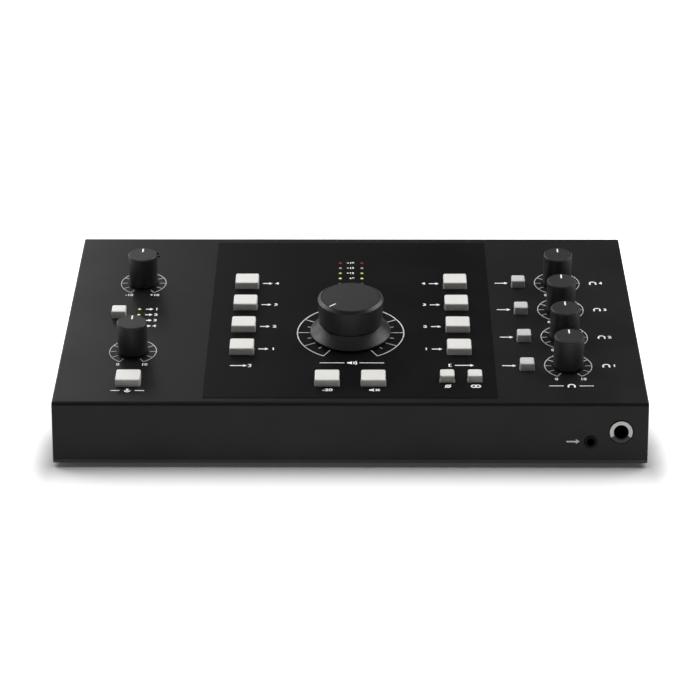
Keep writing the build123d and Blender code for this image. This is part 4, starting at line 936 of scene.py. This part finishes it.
head, panTop = screw["head"], screw["height"] - screw["rim"]
sunkOut, sunkIn = screw["sunkEdge"]
sunk = [(screw["shank"], -screw["sunkDepth"]), (head - sunkOut, -sunkOut), (head - sunkIn, 0)]
pan = [(screw["shank"], 0), (head, 0), *[(head - inset, z) for inset, z in screw["panEdge"]],
       (head - screw["panFlat"], panTop)]
screwPlaces = {"lipX": 132.25, "lipY": (24.0, 78.0, 132.0), "lipTurn": 20, "flangeX": (-90.0, 0.0, 90.0),
               "flangeIn": 5.0, "tabX": 131.75, "tabZ": (9.0, 31.0), "tabTurn": 15}
bottomPlaces = [(side * screwPlaces["lipX"], -(bendY / mm + y), screwPlaces["lipTurn"] * i)
                for i, y in enumerate(screwPlaces["lipY"]) for side in (-1, 1)]
flangeY = rearY / mm - rear["sheet"] - screwPlaces["flangeIn"]
bottomPlaces += [(x, -flangeY, x) for x in screwPlaces["flangeX"]]
scatter("bottom_screws", screwShape(sunk, 0.0), bottomPlaces, underSpace, "blackSteel",
        replaces=["case_screws"])
tabPlaces = [(side * screwPlaces["tabX"], z, screwPlaces["tabTurn"] * z)
             for side in (-1, 1) for z in screwPlaces["tabZ"]]
scatter("rear_screws", screwShape(pan, panTop), tabPlaces, backSpace, "blackSteel")

# rubber feet with a shallow ring in the sole
foot = {"radius": 6.5, "height": 2.4, "edge": ((0, 1.6), (0.25, 2.15), (0.7, 2.4)),
        "ring": ((4.6, 2.4), (4.4, 2.1), (3.6, 2.1), (3.4, 2.4)), "steps": 64, "x": 117.25, "front": 14.0,
        "rear": 138.01}
footShape = lathe([(0, 0), (foot["radius"], 0), *[(foot["radius"] - inset, z) for inset, z in foot["edge"]],
                   *foot["ring"], (0, foot["height"])], foot["steps"])
footPlaces = [(side * foot["x"], -(bendY / mm + y)) for side in (-1, 1) for y in (foot["front"], foot["rear"])]
scatter("foot_pads", footShape, footPlaces, underSpace, "rubber", replaces=["rubber_feet"])
print("stage: rear, screws and feet")

# floor, background and lights
# middle, half, reach, shade, least and fade shape a contact shadow painted into the floor's colour and
# whiteness
studio = {"floor": 6.0, "pale": 0.86, "shade": 0.62, "rough": 0.9, "middle": -0.0745, "half": (0.139, 0.009, 0),
          "reach": (0.019, 0.055), "least": -0.03, "fade": (-0.25, 1.3), "seen": 0.95, "mirrored": 0.55,
          "sky": 0.1, "skyFade": {"From Min": 0.05, "From Max": 0.5, "To Min": 0.19, "To Max": 0.03},
          "aim": (0, 0, 0.03)}
lights = {"leftBox": dict(place=(-0.82, 0.5, 0.95), size=(0.5, 0.7), power=5.6),
          "rightBox": dict(place=(0.85, 0.5, 0.95), size=(0.9, 0.9), power=7.7),
          "backLeft": dict(place=(-0.6, 1.3, 0.85), size=(0.5, 0.5), power=2.3),
          "backMiddle": dict(place=(-0.3, 1.4, 0.95), size=(0.4, 0.4), power=0.25),
          "lowLeft": dict(place=(-1.05, 1.0, 0.35), size=(0.9, 0.4), power=2),
          "overhead": dict(place=(0, 0.15, 1.3), size=(1.2, 0.8), power=11.8, glossy=False)}


def addLight(name, place, size, power, glossy=True):
    data = bpy.data.lights.new(name, "AREA")
    data.shape = "RECTANGLE"
    data.size, data.size_y = size
    data.energy = power
    holder = newObject(name, data)
    holder.location = place
    holder.visible_glossy = glossy
    holder.rotation_euler = (Vector(studio["aim"]) - Vector(place)).to_track_quat("-Z", "Y").to_euler()


def backdropWhite(tree, seen, mirrored):
    path = addNode(tree, "ShaderNodeLightPath")
    rays = (("Is Camera Ray", seen), ("Is Transmission Ray", seen), ("Is Glossy Ray", mirrored))
    shares = [addMath(tree, "MULTIPLY", path.outputs[kind], strength) for kind, strength in rays]
    highest = shares[0]
    for share in shares[1:]:
        highest = addMath(tree, "MAXIMUM", highest, share)
    return highest


floorMesh = bpy.data.meshes.new("floor")
edge = studio["floor"]
corners = [(-edge, -edge, 0), (edge, -edge, 0), (edge, edge, 0), (-edge, edge, 0)]
floorMesh.from_pydata(corners, [], [(0, 1, 2, 3)])
floor = newObject("floor", floorMesh)
floorLook = bpy.data.materials.new("floor")
floorLook.use_nodes = True
tree = floorLook.node_tree
# how far outside the case's outline a place on the floor lies, in shares of the painted shadow's reach
offset = addNode(tree, "ShaderNodeTexCoord").outputs["Object"]
reachX, reachY = studio["reach"]
for operation, *value in (("SUBTRACT", (0, studio["middle"], 0)), ("ABSOLUTE",), ("SUBTRACT", studio["half"]),
                          ("MAXIMUM", (0, 0, 0)), ("MULTIPLY", (1 / reachX, 1 / reachY, 0))):
    offset = addMath(tree, operation, offset, *value, kind="ShaderNodeVectorMath")
away = tree.nodes.new("ShaderNodeVectorMath")
away.operation = "LENGTH"
tree.links.new(offset, away.inputs[0])
# painted shadow: the floor's whiteness for camera rays is painted lower towards the case's outline
rise = addNode(tree, "ShaderNodeMapRange", {"Value": away.outputs["Value"], "From Min": studio["fade"][0],
                                            "From Max": studio["fade"][1], "To Min": studio["least"]})
rise.interpolation_type = "SMOOTHSTEP"
# painted shadow: the floor's colour is painted darker towards the case's outline, from shade to pale
paintedShadowTone = addNode(tree, "ShaderNodeMapRange", {"Value": away.outputs["Value"], "To Min": studio["shade"],
                                            "To Max": studio["pale"]})
white = backdropWhite(tree, studio["seen"], studio["mirrored"])
feed(tree, tree.nodes["Principled BSDF"], {
    "Base Color": paintedShadowTone.outputs[0], "Roughness": studio["rough"], "Specular IOR Level": 0.0,
    "Emission Color": (1, 1, 1, 1), "Emission Strength": addMath(tree, "MULTIPLY", rise.outputs[0], white)})
floorMesh.materials.append(floorLook)

world = bpy.data.worlds.new("studio")
scene.world = world
world.use_nodes = True
tree = world.node_tree
way = addNode(tree, "ShaderNodeTexCoord")
height = addNode(tree, "ShaderNodeSeparateXYZ", {0: way.outputs["Generated"]})
sky = addNode(tree, "ShaderNodeMapRange", {"Value": height.outputs["Z"], **studio["skyFade"]})
sky.interpolation_type = "SMOOTHSTEP"
level = addMath(tree, "MAXIMUM", backdropWhite(tree, 1, studio["sky"]), sky.outputs[0])
feed(tree, tree.nodes["Background"], {"Color": (1, 1, 1, 1), "Strength": level})

for name, light in lights.items():
    addLight(name, **light)
scene.view_settings.view_transform = "Standard"
print("stage: studio")
